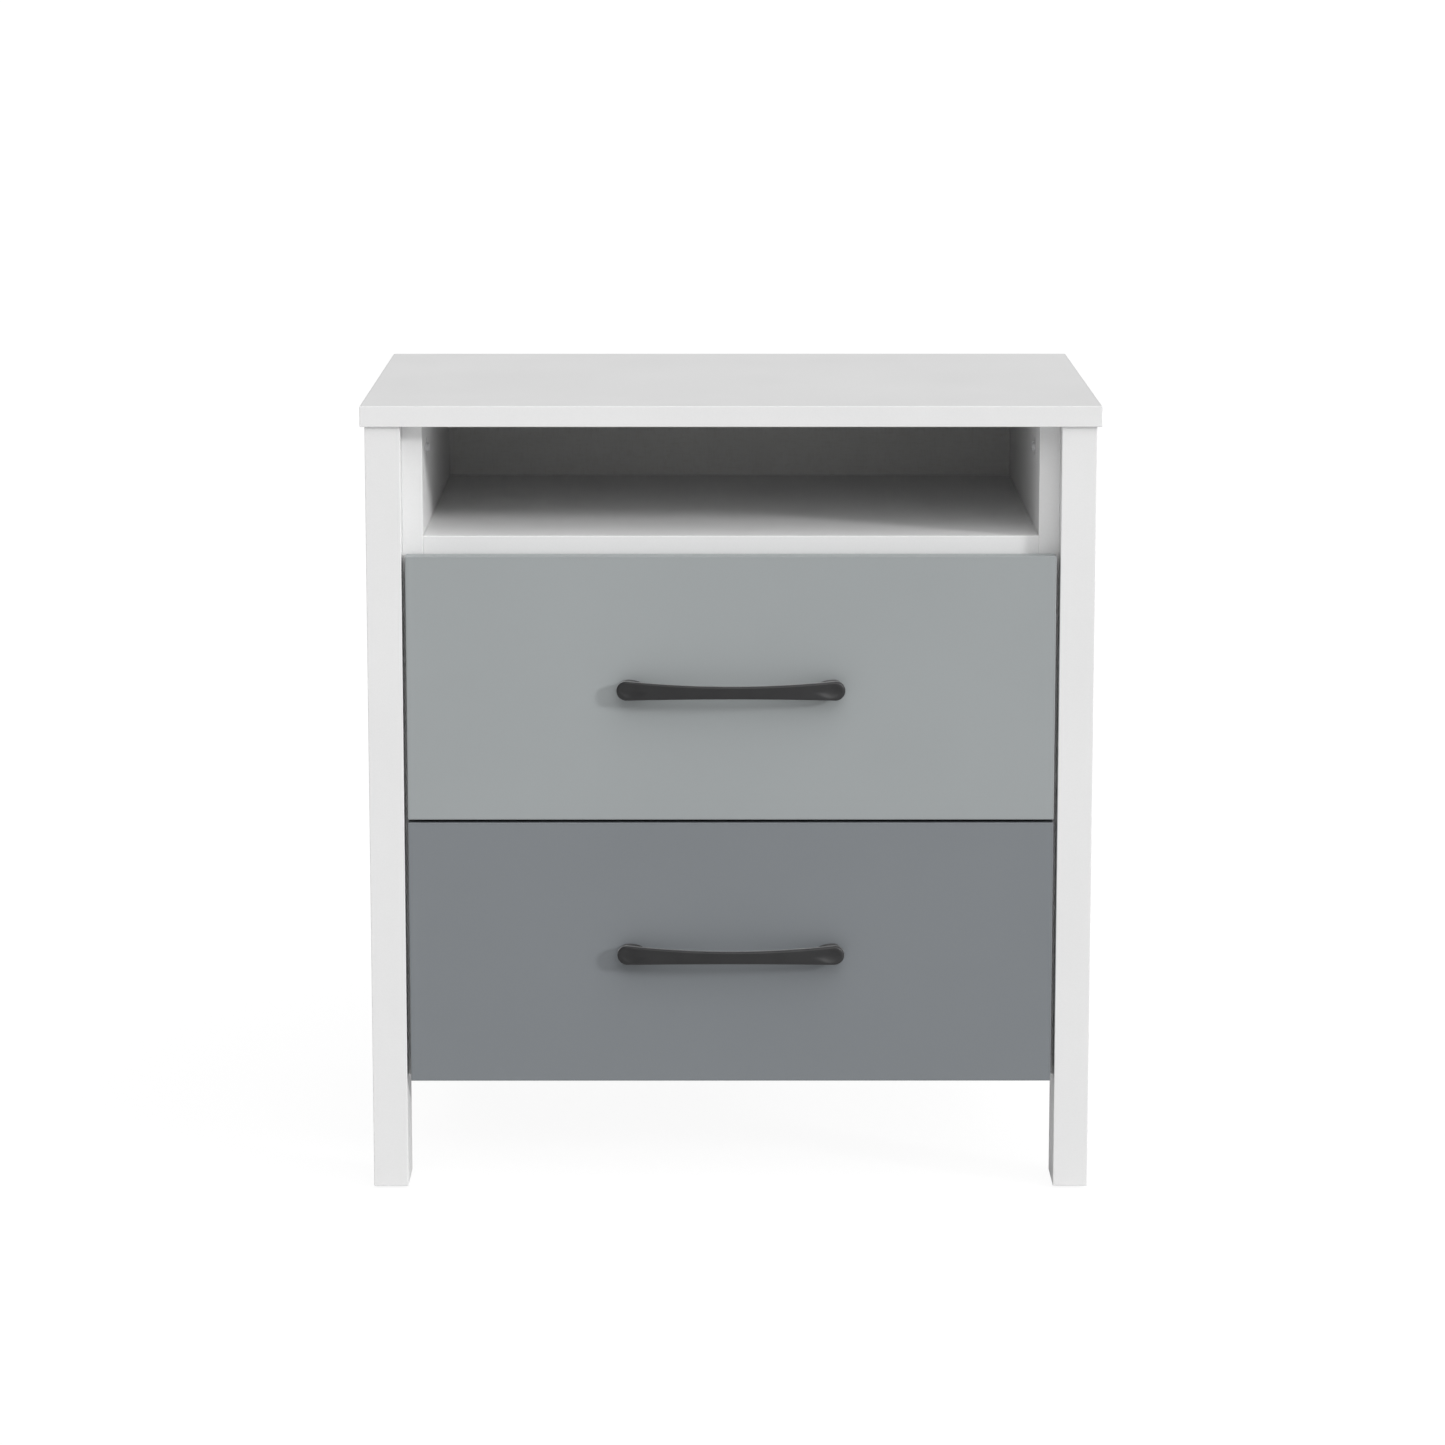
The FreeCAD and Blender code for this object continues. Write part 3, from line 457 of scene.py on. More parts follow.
def make_fibre():
    """Short crossing streaks of pressed fibre under thin paint."""
    tree, given, out = effect(
        "pressed_fibre",
        {"Place": Vector(), "Colour": (0.7, 0.7, 0.7), "Fibre Colour": (0.6, 0.55, 0.5), "Showing": 0.2},
        {"Colour": tuple, "Roughness": float, "Height": float})
    place = given["Place"]
    along = noise(tree, scaled(tree, place, FIBRE_LENGTHWAYS), 1.0, detail=3.0, distortion=0.6)
    across = noise(tree, scaled(tree, place, FIBRE_CROSSWAYS), 1.0, detail=3.0, distortion=0.6)
    felt = maths(tree, "MULTIPLY", maths(tree, "ADD", along, across), 0.5)
    waves = noise(tree, place, WAVES_PER_METRE, detail=1.0)
    streaks = remap(tree, felt, 0.48, 0.64)
    thin = maths(tree, "MULTIPLY", streaks, given["Showing"])
    give(tree, out, Colour=blend_colours(tree, thin, given["Colour"], given["Fibre Colour"]),
         Roughness=remap(tree, felt, 0.3, 0.7, 0.5, 0.68),
         Height=maths(tree, "MULTIPLY_ADD", waves, WAVE_SHARE, felt))
    return tree


FIBRE = make_fibre()
print(FIBRE.name, "-", len(FIBRE.nodes), "nodes")


# %% Effect: embossed foil
ALONG_DEPTH, ALONG_WIDTH = Vector((600.0, 25.0, 600.0)), Vector((25.0, 600.0, 600.0))


def make_foil():
    """Long fine pores pressed into a wrapped board, running along Y or X."""
    tree, given, out = effect(
        "embossed_foil",
        {"Place": Vector(), "Colour": (0.75, 0.75, 0.75), "Stretch": ALONG_DEPTH, "Depth Of Print": 0.06},
        {"Colour": tuple, "Roughness": float, "Height": float})
    grain = noise(tree, scaled(tree, given["Place"], given["Stretch"]), 1.0, detail=4.0, rough=0.6)
    pores = remap(tree, grain, 0.52, 0.68)
    kept = maths(tree, "SUBTRACT", 1.0, maths(tree, "MULTIPLY", pores, given["Depth Of Print"]))
    give(tree, out, Colour=dimmed(tree, given["Colour"], kept),
         Roughness=remap(tree, grain, 0.3, 0.7, 0.42, 0.56), Height=maths(tree, "SUBTRACT", 1.0, pores))
    return tree


FOIL = make_foil()
print(FOIL.name, "-", len(FOIL.nodes), "nodes")

# %% Sheets and drawer boxes
PAINTED = (0.74, 0.74, 0.73)
BARE_FIBRE = (0.5, 0.46, 0.41)
WORN_FOIL = (0.66, 0.64, 0.6)
FIBRE_HEIGHT, PORE_DEPTH = 0.00006, 0.00003
FOIL_RUB_WIDTH, FOIL_RUB_SHOWS = 0.0012, 0.35
DRAWERS = ("upper_drawer", "lower_drawer")


def hardboard(name, showing):
    """Painted hardboard; a higher showing lets more of the fibre through."""
    tree = material_named(name).node_tree
    sheet = use(tree, FIBRE, Place=object_place(tree), Colour=PAINTED, Fibre_Colour=BARE_FIBRE,
                Showing=showing)
    relief = bump(tree, sheet["Height"], FIBRE_HEIGHT, strength=0.5)
    return finish_material(name, sheet["Colour"], sheet["Roughness"], relief)


def foiled_board(name, node_name, stretch, thin_axis):
    """Foil-wrapped board of a drawer box, with its worn upper edge."""
    tree = material_named(name).node_tree
    place = object_place(tree)
    foil = use(tree, FOIL, Place=place, Colour=FOIL_WHITE, Stretch=stretch)
    edges = edges_of(node_name, tree, place, thin_axis, Rub_Width=FOIL_RUB_WIDTH)
    rubbed = maths(tree, "MULTIPLY", edges["Rubbed"], FOIL_RUB_SHOWS)
    toned = blend_colours(tree, rubbed, foil["Colour"], WORN_FOIL)
    relief = bump(tree, foil["Height"], PORE_DEPTH, strength=0.5)
    return finish_material(name, toned, foil["Roughness"], relief)


wear("back_panel", hardboard("painted_hardboard_back", showing=0.16))
for drawer in DRAWERS:
    wear(drawer + "_bottom", hardboard("painted_hardboard_" + drawer, showing=0.1))
    for side in ("left", "right"):
        side_name = "{}_{}_side".format(drawer, side)
        wear(side_name, foiled_board("foil_" + side_name, side_name, ALONG_DEPTH, FACING_SIDE))
    back_name = drawer + "_back"
    wear(back_name, foiled_board("foil_" + back_name, back_name, ALONG_WIDTH, FACING_FRONT))
print("drawer boxes dressed:", DRAWERS)

# %% [markdown]
# ## Hardware finishes
#
# Small metal and plastic parts decide whether furniture looks real when a drawer is pulled out.
# Zinc plating is a thin bright layer with a faint cloudy tint. Die-cast zinc is greyer and pitted.
# The rails are sprayed and baked, so they are smooth with rounded, softly glossy edges. Nylon is
# milky. Powder coat, on the handles, melts into a skin with a fine orange-peel ripple.

# %% Effect: cloudy, pitted or rippled surface
def make_cast_surface():
    """Two tones in soft clouds, fine pits and a ripple, for metals, coats and plastics."""
    tree, given, out = effect(
        "cast_surface",
        {"Place": Vector(), "Colour": (0.5, 0.5, 0.5), "Clouded Colour": (0.4, 0.4, 0.4),
         "Cloud Scale": 200.0, "Pit Scale": 2500.0, "Smooth": 0.3, "Rough": 0.5},
        {"Colour": tuple, "Roughness": float, "Height": float})
    place = given["Place"]
    clouds = noise(tree, place, given["Cloud Scale"], detail=4.0, rough=0.6)
    pits = noise(tree, place, given["Pit Scale"], detail=1.0)
    share = remap(tree, clouds, 0.35, 0.68)
    span = maths(tree, "SUBTRACT", given["Rough"], given["Smooth"])
    give(tree, out, Colour=blend_colours(tree, share, given["Colour"], given["Clouded Colour"]),
         Roughness=maths(tree, "MULTIPLY_ADD", clouds, span, given["Smooth"]), Height=pits)
    return tree


CAST_SURFACE = make_cast_surface()
print(CAST_SURFACE.name, "-", len(CAST_SURFACE.nodes), "nodes")


# %% Finishes for metal, coat and plastic
def cast_finish(name, colour, clouded, rough, relief, cloud_scale=200.0, pit_scale=2500.0, **constants):
    """Material on the shared surface effect; rough is the lowest and highest roughness."""
    tree = material_named(name).node_tree
    skin = use(tree, CAST_SURFACE, Place=object_place(tree), Colour=colour, Clouded_Colour=clouded,
               Cloud_Scale=cloud_scale, Pit_Scale=pit_scale, Smooth=rough[0], Rough=rough[1])
    normal = bump(tree, skin["Height"], relief, strength=0.6)
    return finish_material(name, skin["Colour"], skin["Roughness"], normal, **constants)


BLACK_COAT = cast_finish(
    "black_powder_coat", colour=(0.019, 0.019, 0.02), clouded=(0.015, 0.015, 0.016), rough=(0.36, 0.5),
    relief=0.00002, cloud_scale=60.0, pit_scale=1400.0, Sheen_Weight=0.7, Sheen_Roughness=0.3)
ZINC_PLATE = cast_finish(
    "zinc_plated_steel", colour=(0.66, 0.66, 0.64), clouded=(0.52, 0.54, 0.56), rough=(0.22, 0.45),
    relief=0.000004, Metallic=1.0)
DIE_CAST = cast_finish(
    "die_cast_zinc", colour=(0.74, 0.74, 0.75), clouded=(0.6, 0.6, 0.61), rough=(0.42, 0.62),
    relief=0.00001, cloud_scale=500.0, pit_scale=4000.0, Metallic=0.4)
BAKED_WHITE = cast_finish(
    "baked_white_coat", colour=(0.78, 0.78, 0.76), clouded=(0.75, 0.75, 0.74), rough=(0.3, 0.42),
    relief=0.00001, cloud_scale=90.0, pit_scale=1800.0)
NYLON = cast_finish(
    "milky_nylon", colour=(0.72, 0.71, 0.67), clouded=(0.68, 0.67, 0.62), rough=(0.38, 0.55),
    relief=0.000008, cloud_scale=300.0, pit_scale=3000.0)
GLIDE_PLASTIC = cast_finish(
    "grey_glide_plastic", colour=(0.5, 0.5, 0.49), clouded=(0.44, 0.44, 0.43), rough=(0.45, 0.65),
    relief=0.00001, cloud_scale=250.0)
BEECH_LIGHT, BEECH_DARK = (0.6, 0.42, 0.25), (0.4, 0.24, 0.12)
BEECH_GRAIN = (1600.0, 1600.0, 90.0)
GRAIN_HEIGHT = 0.00005


def beech(name):
    """Turned beech: fine darker flecks along the dowel, read from the fitting's own coordinates."""
    tree = material_named(name).node_tree
    own = node(tree, "Attribute", attribute_name="own_place").outputs["Vector"]
    grain = noise(tree, scaled(tree, own, BEECH_GRAIN), 1.0, detail=4.0)
    colour = blend_colours(tree, remap(tree, grain, 0.5, 0.66), BEECH_LIGHT, BEECH_DARK)
    roughness = remap(tree, grain, 0.3, 0.7, 0.55, 0.75)
    return finish_material(name, colour, roughness, bump(tree, grain, GRAIN_HEIGHT, strength=0.6))


BEECH = beech("beech")
print("finishes:", len(bpy.data.materials))

# %% [markdown]
# ## Making small parts
#
# Screws, cams, rollers and dowels are all turned parts, so each is a profile spun about its own
# axis. The same fitting is used many times: it is modelled once, upright at the origin with its
# head up, and then copied to every place. The places aren't typed in. The CAD node holds one solid
# for each fitting, and the box round each solid says where that fitting sits.

# %% Helpers for meshes
WELD = 1e-7


def turned(shape, corners, steps=32, closed=False):
    """Spin (radius, height) corners in millimetres about Z; closed joins the last to the first."""
    verts = [shape.verts.new((radius * MM, 0, height * MM)) for radius, height in corners]
    pairs = list(zip(verts, verts[1:] + verts[:1]))
    edges = [shape.edges.new(pair) for pair in (pairs if closed else pairs[:-1])]
    spun = bmesh.ops.spin(shape, geom=verts + edges, cent=(0, 0, 0), axis=(0, 0, 1),
                          angle=2 * math.pi, steps=steps, use_merge=True)
    skin = list({v for item in spun["geom_last"] + verts for v in linked(item)})
    bmesh.ops.remove_doubles(shape, verts=skin, dist=WELD)
    bmesh.ops.recalc_face_normals(shape, faces=shape.faces)


def linked(item):
    """The vertices that hang together with an element."""
    start = item if isinstance(item, bmesh.types.BMVert) else item.verts[0]
    found, waiting = {start}, [start]
    while waiting:
        for edge in waiting.pop().link_edges:
            for vert in edge.verts:
                if vert not in found:
                    found.add(vert)
                    waiting.append(vert)
    return found


def solids_in(node_name):
    """Low and high corner of every separate solid of a CAD node."""
    shape = bmesh.new()
    shape.from_mesh(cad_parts[node_name].data)
    bmesh.ops.remove_doubles(shape, verts=shape.verts, dist=1e-6)
    left, boxes = set(shape.verts), []
    while left:
        solid = linked(next(iter(left)))
        left -= solid
        places = [vert.co for vert in solid]
        boxes.append((Vector(map(min, *places)), Vector(map(max, *places))))
    shape.free()
    return sorted(boxes, key=lambda box: tuple(round(v, 5) for v in box[0]))


def as_pattern(shape, name):
    """Finished fitting as a mesh that can be copied into pieces."""
    pattern = bpy.data.meshes.new(name)
    shape.to_mesh(pattern)
    shape.free()
    return pattern


def set_in(piece, pattern, place, facing):
    """Copy a fitting into a piece with its head at a place, facing a direction."""
    known = set(piece.verts)
    own_place = piece.verts.layers.float_vector.get("own_place")
    piece.from_mesh(pattern)
    added = [vert for vert in piece.verts if vert not in known]
    for vert in added:
        vert[own_place] = vert.co
    turn = facing.to_track_quat("Z", "Y").to_matrix().to_4x4()
    bmesh.ops.transform(piece, matrix=Matrix.Translation(place) @ turn, verts=added)


def new_piece():
    """Empty mesh with room for each fitting's own coordinates."""
    piece = bmesh.new()
    piece.verts.layers.float_vector.new("own_place")
    return piece


def hand_over(piece, node_name, body, material, sharp=math.radians(32)):
    """Turn a finished shape into the object that stands for a CAD node."""
    for face in piece.faces:
        face.smooth = True
    for edge in piece.edges:
        edge.smooth = edge.calc_face_angle(0) < sharp
    mesh = bpy.data.meshes.new(node_name + "_look")
    piece.to_mesh(mesh)
    piece.free()
    mesh.materials.append(material)
    made = bpy.data.objects.new(node_name + "_look", mesh)
    bpy.context.scene.collection.objects.link(made)
    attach(made, body)
    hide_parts(node_name)


def fit_out(node_name, body, pattern, facing_of, material, slot):
    """Put a fitting on every solid of a CAD node, its head towards facing_of(middle)."""
    piece = new_piece()
    boxes = solids_in(node_name)
    for low, high in boxes:
        middle = (low + high) / 2
        facing = facing_of(middle)
        half_length = abs((high - low).dot(facing)) / 2
        set_in(piece, pattern, middle + facing * half_length, facing)
    count = len(piece.faces)
    hand_over(piece, node_name, body, material)
    print(node_name, "-", len(boxes), "fittings,", count, "faces")


def inward(middle):
    """Towards the middle plane."""
    return Vector((-math.copysign(1, middle.x), 0, 0))


def outward(middle):
    """Away from the middle plane."""
    return -inward(middle)


def backward(middle):
    """Towards the wall."""
    return Vector((0, 1, 0))


def downward(middle):
    """Towards the floor."""
    return Vector((0, 0, -1))


def upward(middle):
    """Towards the top."""
    return Vector((0, 0, 1))


print("leg screws in the frame:", len(solids_in("leg_screws")))

# %% [markdown]
# ### Screws
#
# A furniture screw has a flat head with a cross recess, a taper, a thin core and a coarse thread.
# The recess is cut with planes: four cuts mark out the cross on the head's face, and the marked
# faces are pushed down. The thread is a triangle that is spun while it moves along the axis, which
# gives a true helix instead of a stack of rings.

# %% Cross recess and thread
SQUARE_ON = 0.99
THREAD_ROOT = 0.15
THREAD_CREST, THREAD_FOOT = 0.3, 0.6


def press_cross(shape, reach, half_width, depth):
    """Push a cross into the flat top of a fitting; sizes in millimetres."""
    top = max(v.co.z for v in shape.verts)

    def flat_faces():
        return [f for f in shape.faces
                if f.normal.z > SQUARE_ON and f.calc_center_median().z > top - 1e-6]

    bmesh.ops.dissolve_faces(shape, faces=flat_faces())
    for axis in (Vector((1, 0, 0)), Vector((0, 1, 0))):
        for offset in (-reach, -half_width, half_width, reach):
            faces = flat_faces()
            around = {item for f in faces for item in (*f.verts, *f.edges, f)}
            bmesh.ops.bisect_plane(shape, geom=list(around), plane_co=axis * offset * MM, plane_no=axis)
    arms = []
    for face in flat_faces():
        middle = face.calc_center_median() / MM
        near, far = sorted((abs(middle.x), abs(middle.y)))
        if near < half_width and far < reach:
            arms.append(face)
    pushed = bmesh.ops.extrude_face_region(shape, geom=arms)
    bmesh.ops.delete(shape, geom=arms, context="FACES")
    floor = [v for v in pushed["geom"] if isinstance(v, bmesh.types.BMVert)]
    bmesh.ops.translate(shape, verts=floor, vec=(0, 0, -depth * MM))
    bmesh.ops.recalc_face_normals(shape, faces=shape.faces)


def wind_thread(shape, core, radius, start, end, pitch, steps=14):
    """Helical thread from a start height down to an end height, in millimetres."""
    root = core - THREAD_ROOT
    corners = [(root, start), (radius, start - pitch * THREAD_CREST), (root, start - pitch * THREAD_FOOT)]
    verts = [shape.verts.new((r * MM, 0, z * MM)) for r, z in corners]
    edges = [shape.edges.new((verts[i], verts[(i + 1) % 3])) for i in range(3)]
    turns = (start - end) / pitch - THREAD_FOOT
    count = round(turns * steps)
    bmesh.ops.spin(shape, geom=verts + edges, cent=(0, 0, 0), axis=(0, 0, 1),
                   angle=2 * math.pi * turns, steps=count, dvec=(0, 0, -pitch * turns / count * MM))
    ends = [e for e in shape.edges if e.is_boundary]
    bmesh.ops.holes_fill(shape, edges=ends, sides=3)
    bmesh.ops.recalc_face_normals(shape, faces=shape.faces)


print("thread crest at", THREAD_CREST, "of the pitch")

# %% Flat-headed and pan-headed screws
HEAD_TO_SHANK = 2.0
HEAD_TAPER = 1.25
WOOD_CORE, MACHINE_CORE = 0.66, 0.82
MACHINE_PITCH = 0.9


def flat_headed_screw(name, radius, length):
    """Countersunk chipboard screw of a shank radius and a length in millimetres."""
    core, head = radius * WOOD_CORE, radius * HEAD_TO_SHANK
    neck = -HEAD_TAPER * radius
    shape = bmesh.new()
    turned(shape, [(0, 0), (head - 0.15, 0), (head, -0.12), (head, -0.3), (radius * 1.05, neck),
                   (core, neck - 0.4), (core, -length + 2 * radius), (0, -length)])
    press_cross(shape, radius * 1.05, radius * 0.2, radius * 0.9)
    wind_thread(shape, core, radius, neck - 1, -length + 2 * radius, radius * 0.9)
    return as_pattern(shape, name)


def pan_headed_screw(name, radius, length, head_radius, head_height):
    """Machine screw with a domed head, as holds a handle from inside."""
    core = radius * MACHINE_CORE
    shape = bmesh.new()
    turned(shape, [(0, 0), (head_radius * 0.62, 0), (head_radius * 0.86, -head_height * 0.18),
                   (head_radius, -head_height * 0.55), (head_radius, -head_height), (core, -head_height),
                   (core, -length + 0.4), (core - 0.4, -length), (0, -length)])
    press_cross(shape, head_radius * 0.5, head_radius * 0.1, head_height * 0.6)
    wind_thread(shape, core, radius, -head_height - 1, -length + 0.5, MACHINE_PITCH)
    return as_pattern(shape, name)


LEG_SCREW = flat_headed_screw("leg_screw", radius=2.0, length=35)
CABINET_RAIL_SCREW = flat_headed_screw("cabinet_rail_screw", radius=1.7, length=14)
DRAWER_RAIL_SCREW = flat_headed_screw("drawer_rail_screw", radius=1.7, length=11)
BACK_SCREW = flat_headed_screw("drawer_back_screw", radius=1.7, length=35)
HANDLE_SCREW = pan_headed_screw("handle_screw", radius=2.0, length=27.1, head_radius=4, head_height=2.6)
ZINC = (ZINC_PLATE, "zinc_steel")

fit_out("leg_screws", "cabinet", LEG_SCREW, inward, *ZINC)
fit_out("cabinet_rail_screws", "cabinet", CABINET_RAIL_SCREW, inward, *ZINC)
for drawer in DRAWERS:
    fit_out(drawer + "_rail_screws", drawer, DRAWER_RAIL_SCREW, outward, *ZINC)
    fit_out(drawer + "_back_screws", drawer, BACK_SCREW, outward, *ZINC)
    fit_out(drawer + "_handle_screws", drawer, HANDLE_SCREW, backward, *ZINC)

# %% [markdown]
# ### Cam locks, bolts and dowels
#
# Flat-packed boards are pulled together by a bolt with a ball head and a cast disc that turns and
# grips it. Only the face of each disc shows: a bright ring with a small raised hub and its cross
# recess. The beech dowels beside them have flutes, so that glue and air can get out.

# %% Cam locks and their bolts
TOP_JOINT_REACH = 40 * MM


def cam_lock(name, depth):
    """Cast disc with a rounded rim and a raised hub; depth in millimetres, without the hub."""
    hub, disc, proud = 3.4, 7.4, 2.5
    shape = bmesh.new()
    turned(shape, [(0, 0), (hub - 0.3, 0), (hub, -0.3), (hub, 0.4 - proud), (hub + 0.4, -proud),
                   (4.6, -proud), (5.0, -proud - 0.35), (6.0, -proud - 0.35), (6.4, -proud),
                   (disc - 0.3, -proud), (disc, -proud - 0.3), (disc, -proud - depth + 0.5),
                   (disc - 0.5, -proud - depth), (0, -proud - depth)], steps=40)
    press_cross(shape, 2.5, 0.5, 1.6)
    return as_pattern(shape, name)


def cam_bolt(name, slim):
    """Bolt with a coarse thread, a collar, a slim shank and a ball head; its head is up."""
    thread, shank, ball, length = 3.0, 2.5 * slim, 3.4 * slim, 37.0
    joint = 11.0 - length
    shape = bmesh.new()
    core, waist = thread * 0.7, shank * 0.75
    turned(shape, [(0, 0), (ball * 0.55, 0), (ball * 0.9, -0.9), (ball, -2.2), (ball * 0.92, -3.8),
                   (ball * 0.6, -5.2), (waist, -6.2), (waist, -9.5), (shank, -10.5),
                   (shank, joint + 1.2), (thread, joint + 0.8), (thread, joint), (core, joint - 0.3),
                   (core, -length + 1.5), (thread * 0.3, -length), (0, -length)], steps=28)
    wind_thread(shape, core, thread, joint - 0.6, -length + 1.2, pitch=2.2)
    return as_pattern(shape, name)


def carcass_cam_way(middle):
    """Cams of the top joints open inwards, and those of the shelf and the bottom downwards."""
    under_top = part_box("top_panel")[0].z
    return inward(middle) if under_top - middle.z < TOP_JOINT_REACH else downward(middle)


def joint_way(middle):
    """Bolts and dowels hang from the top, and reach inwards from the side panels elsewhere."""
    panel_middle = sum(v.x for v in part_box("right_side_panel")) / 2
    return downward(middle) if abs(abs(middle.x) - panel_middle) < MM else inward(middle)


CARCASS_CAM, DRAWER_CAM = cam_lock("carcass_cam", 12.5), cam_lock("drawer_cam", 9.5)
CARCASS_BOLT, DRAWER_BOLT = cam_bolt("carcass_bolt", 1.0), cam_bolt("drawer_bolt", 0.85)
fit_out("cam_locks", "cabinet", CARCASS_CAM, carcass_cam_way, DIE_CAST, "cam_zinc")
fit_out("cam_bolts", "cabinet", CARCASS_BOLT, joint_way, *ZINC)
for drawer in DRAWERS:
    fit_out(drawer + "_cam_locks", drawer, DRAWER_CAM, outward, DIE_CAST, "cam_zinc")
    fit_out(drawer + "_cam_bolts", drawer, DRAWER_BOLT, backward, *ZINC)


# %% Fluted dowels, nails and glides
CHAMFER, CHAMFER_SHARE = 1.0, 0.82
FLUTE_SHARE = 0.94
BARBS, BARB_PITCH = 4, 2.6


def fluted_dowel(name, radius, length, flutes=18):
    """Dowel from a ring whose every other corner is pulled in, with chamfered ends."""
    shape = bmesh.new()
    bmesh.ops.create_circle(shape, cap_ends=True, segments=2 * flutes, radius=radius * MM * CHAMFER_SHARE)
    first = end = next(iter(shape.faces))
    for height, share in ((-CHAMFER, 1.0), (CHAMFER - length, 1.0), (-length, CHAMFER_SHARE)):
        grown = bmesh.ops.extrude_face_region(shape, geom=[end])["geom"]
        if end is not first:
            bmesh.ops.delete(shape, geom=[end], context="FACES_ONLY")
        end = next(item for item in grown if isinstance(item, bmesh.types.BMFace))
        for corner, vert in enumerate(end.verts):
            reach = radius * share * (FLUTE_SHARE if corner % 2 else 1.0)
            flat = Vector((vert.co.x, vert.co.y, 0)).normalized() * reach
            vert.co = (flat + Vector((0, 0, height))) * MM
    bmesh.ops.recalc_face_normals(shape, faces=shape.faces)
    return as_pattern(shape, name)


def wire_nail(name, radius, length, head_radius, head_height):
    """Small nail with a flat, slightly domed head and a point."""
    shape = bmesh.new()
    turned(shape, [(0, 0), (head_radius * 0.7, -0.05), (head_radius, -head_height * 0.6),
                   (head_radius * 0.9, -head_height), (radius, -head_height),
                   (radius, -length - head_height + 2.5), (0, -length - head_height)], steps=20)
    return as_pattern(shape, name)


def barbed_glide(name, radius, height, stem_radius, stem_length):
    """Pressed-in glide: a stem with barbs on a disc with a rounded foot."""
    disc_top, foot = -stem_length, -stem_length - height
    root = stem_radius * 0.72
    barbs = []
    for step in range(BARBS):
        barbs += [(root, -2.0 - step * BARB_PITCH), (stem_radius, -4.0 - step * BARB_PITCH)]
    shape = bmesh.new()
    turned(shape, [(0, 0), (stem_radius * 0.6, 0)] + barbs + [
        (root, disc_top + 0.8), (stem_radius, disc_top), (radius - 0.3, disc_top),
        (radius, disc_top - 0.3), (radius, foot + 0.8), (radius - 0.8, foot), (0, foot)], steps=36)
    return as_pattern(shape, name)


DOWEL = fluted_dowel("beech_dowel", radius=4.0, length=30.0)
NAIL = wire_nail("back_nail", radius=0.8, length=20.0, head_radius=2.0, head_height=0.5)
GLIDE = barbed_glide("foot_glide", radius=10.0, height=2.0, stem_radius=3.0, stem_length=14.0)
fit_out("wood_dowels", "cabinet", DOWEL, joint_way, BEECH, "beech")
fit_out("back_panel_nails", "cabinet", NAIL, backward, *ZINC)
fit_out("foot_glides", "cabinet", GLIDE, upward, GLIDE_PLASTIC, "glide_plastic")

# %% [markdown]
# ### Roller slides
#
# Each drawer hangs on two pairs of folded steel rails. A rail is one strip of sheet, so it is
# modelled as the press brake makes it: a bent line with rounded corners, drawn out to the length of
# the rail, holes punched in the web, and only then a wall thickness. The rollers are turned nylon
# tyres with a dished face, each on a rivet with a low domed head.

# %% Folded rails
SHEET = 1.0
BEND_RADIUS = 1.4
HOLE_STEPS = (69, 101, 133, 197, 229, 261, 317)
CABINET_LINE = [(9, 3), (9, 0), (0, 0), (0, 30), (9, 30), (9, 27)]
DRAWER_LINE = [(21.5, 0), (8.5, 0), (8.5, 26), (0, 26), (0, 28.5)]


def in_web(face, web):
    """Whether a face lies in the web that stands at a distance from the wall side."""
    return abs(face.normal.x) > SQUARE_ON and abs(face.calc_center_median().x - web * MM) < MM / 5


def fold_rail(node_name, body, corners, web, hole_height):
    """Rail from its bent line, as (distance from the wall side, height) corners in millimetres."""
    low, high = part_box(node_name)
    left = low.x < 0
    shape = bmesh.new()
    verts = [shape.verts.new((u * MM, 0, w * MM)) for u, w in corners]
    for pair in zip(verts, verts[1:]):
        shape.edges.new(pair)
    bmesh.ops.bevel(shape, geom=verts[1:-1], offset=BEND_RADIUS * MM, offset_type="OFFSET", segments=3,
                    profile=0.5, affect="VERTICES", material=-1)
    drawn = bmesh.ops.extrude_edge_only(shape, edges=list(shape.edges))["geom"]
    far_end = [item for item in drawn if isinstance(item, bmesh.types.BMVert)]
    bmesh.ops.translate(shape, verts=far_end, vec=(0, high.y - low.y, 0))
    shape.normal_update()
    punch_holes(shape, web, hole_height)
    bmesh.ops.recalc_face_normals(shape, faces=shape.faces)
    # the thickness grows against the normals, so the web has to face the wall
    if any(face.normal.x > 0 and in_web(face, web) for face in shape.faces):
        bmesh.ops.reverse_faces(shape, faces=shape.faces)
    bmesh.ops.solidify(shape, geom=shape.faces, thickness=SHEET * MM)
    bmesh.ops.transform(shape, matrix=Matrix.Diagonal((1 if left else -1, 1, 1, 1)), verts=shape.verts)
    start = Vector((low.x if left else high.x, low.y, low.z))
    bmesh.ops.translate(shape, verts=shape.verts, vec=start)
    bmesh.ops.recalc_face_normals(shape, faces=shape.faces)
    print(node_name, "-", len(shape.faces), "faces")
    hand_over(shape, node_name, body, BAKED_WHITE)


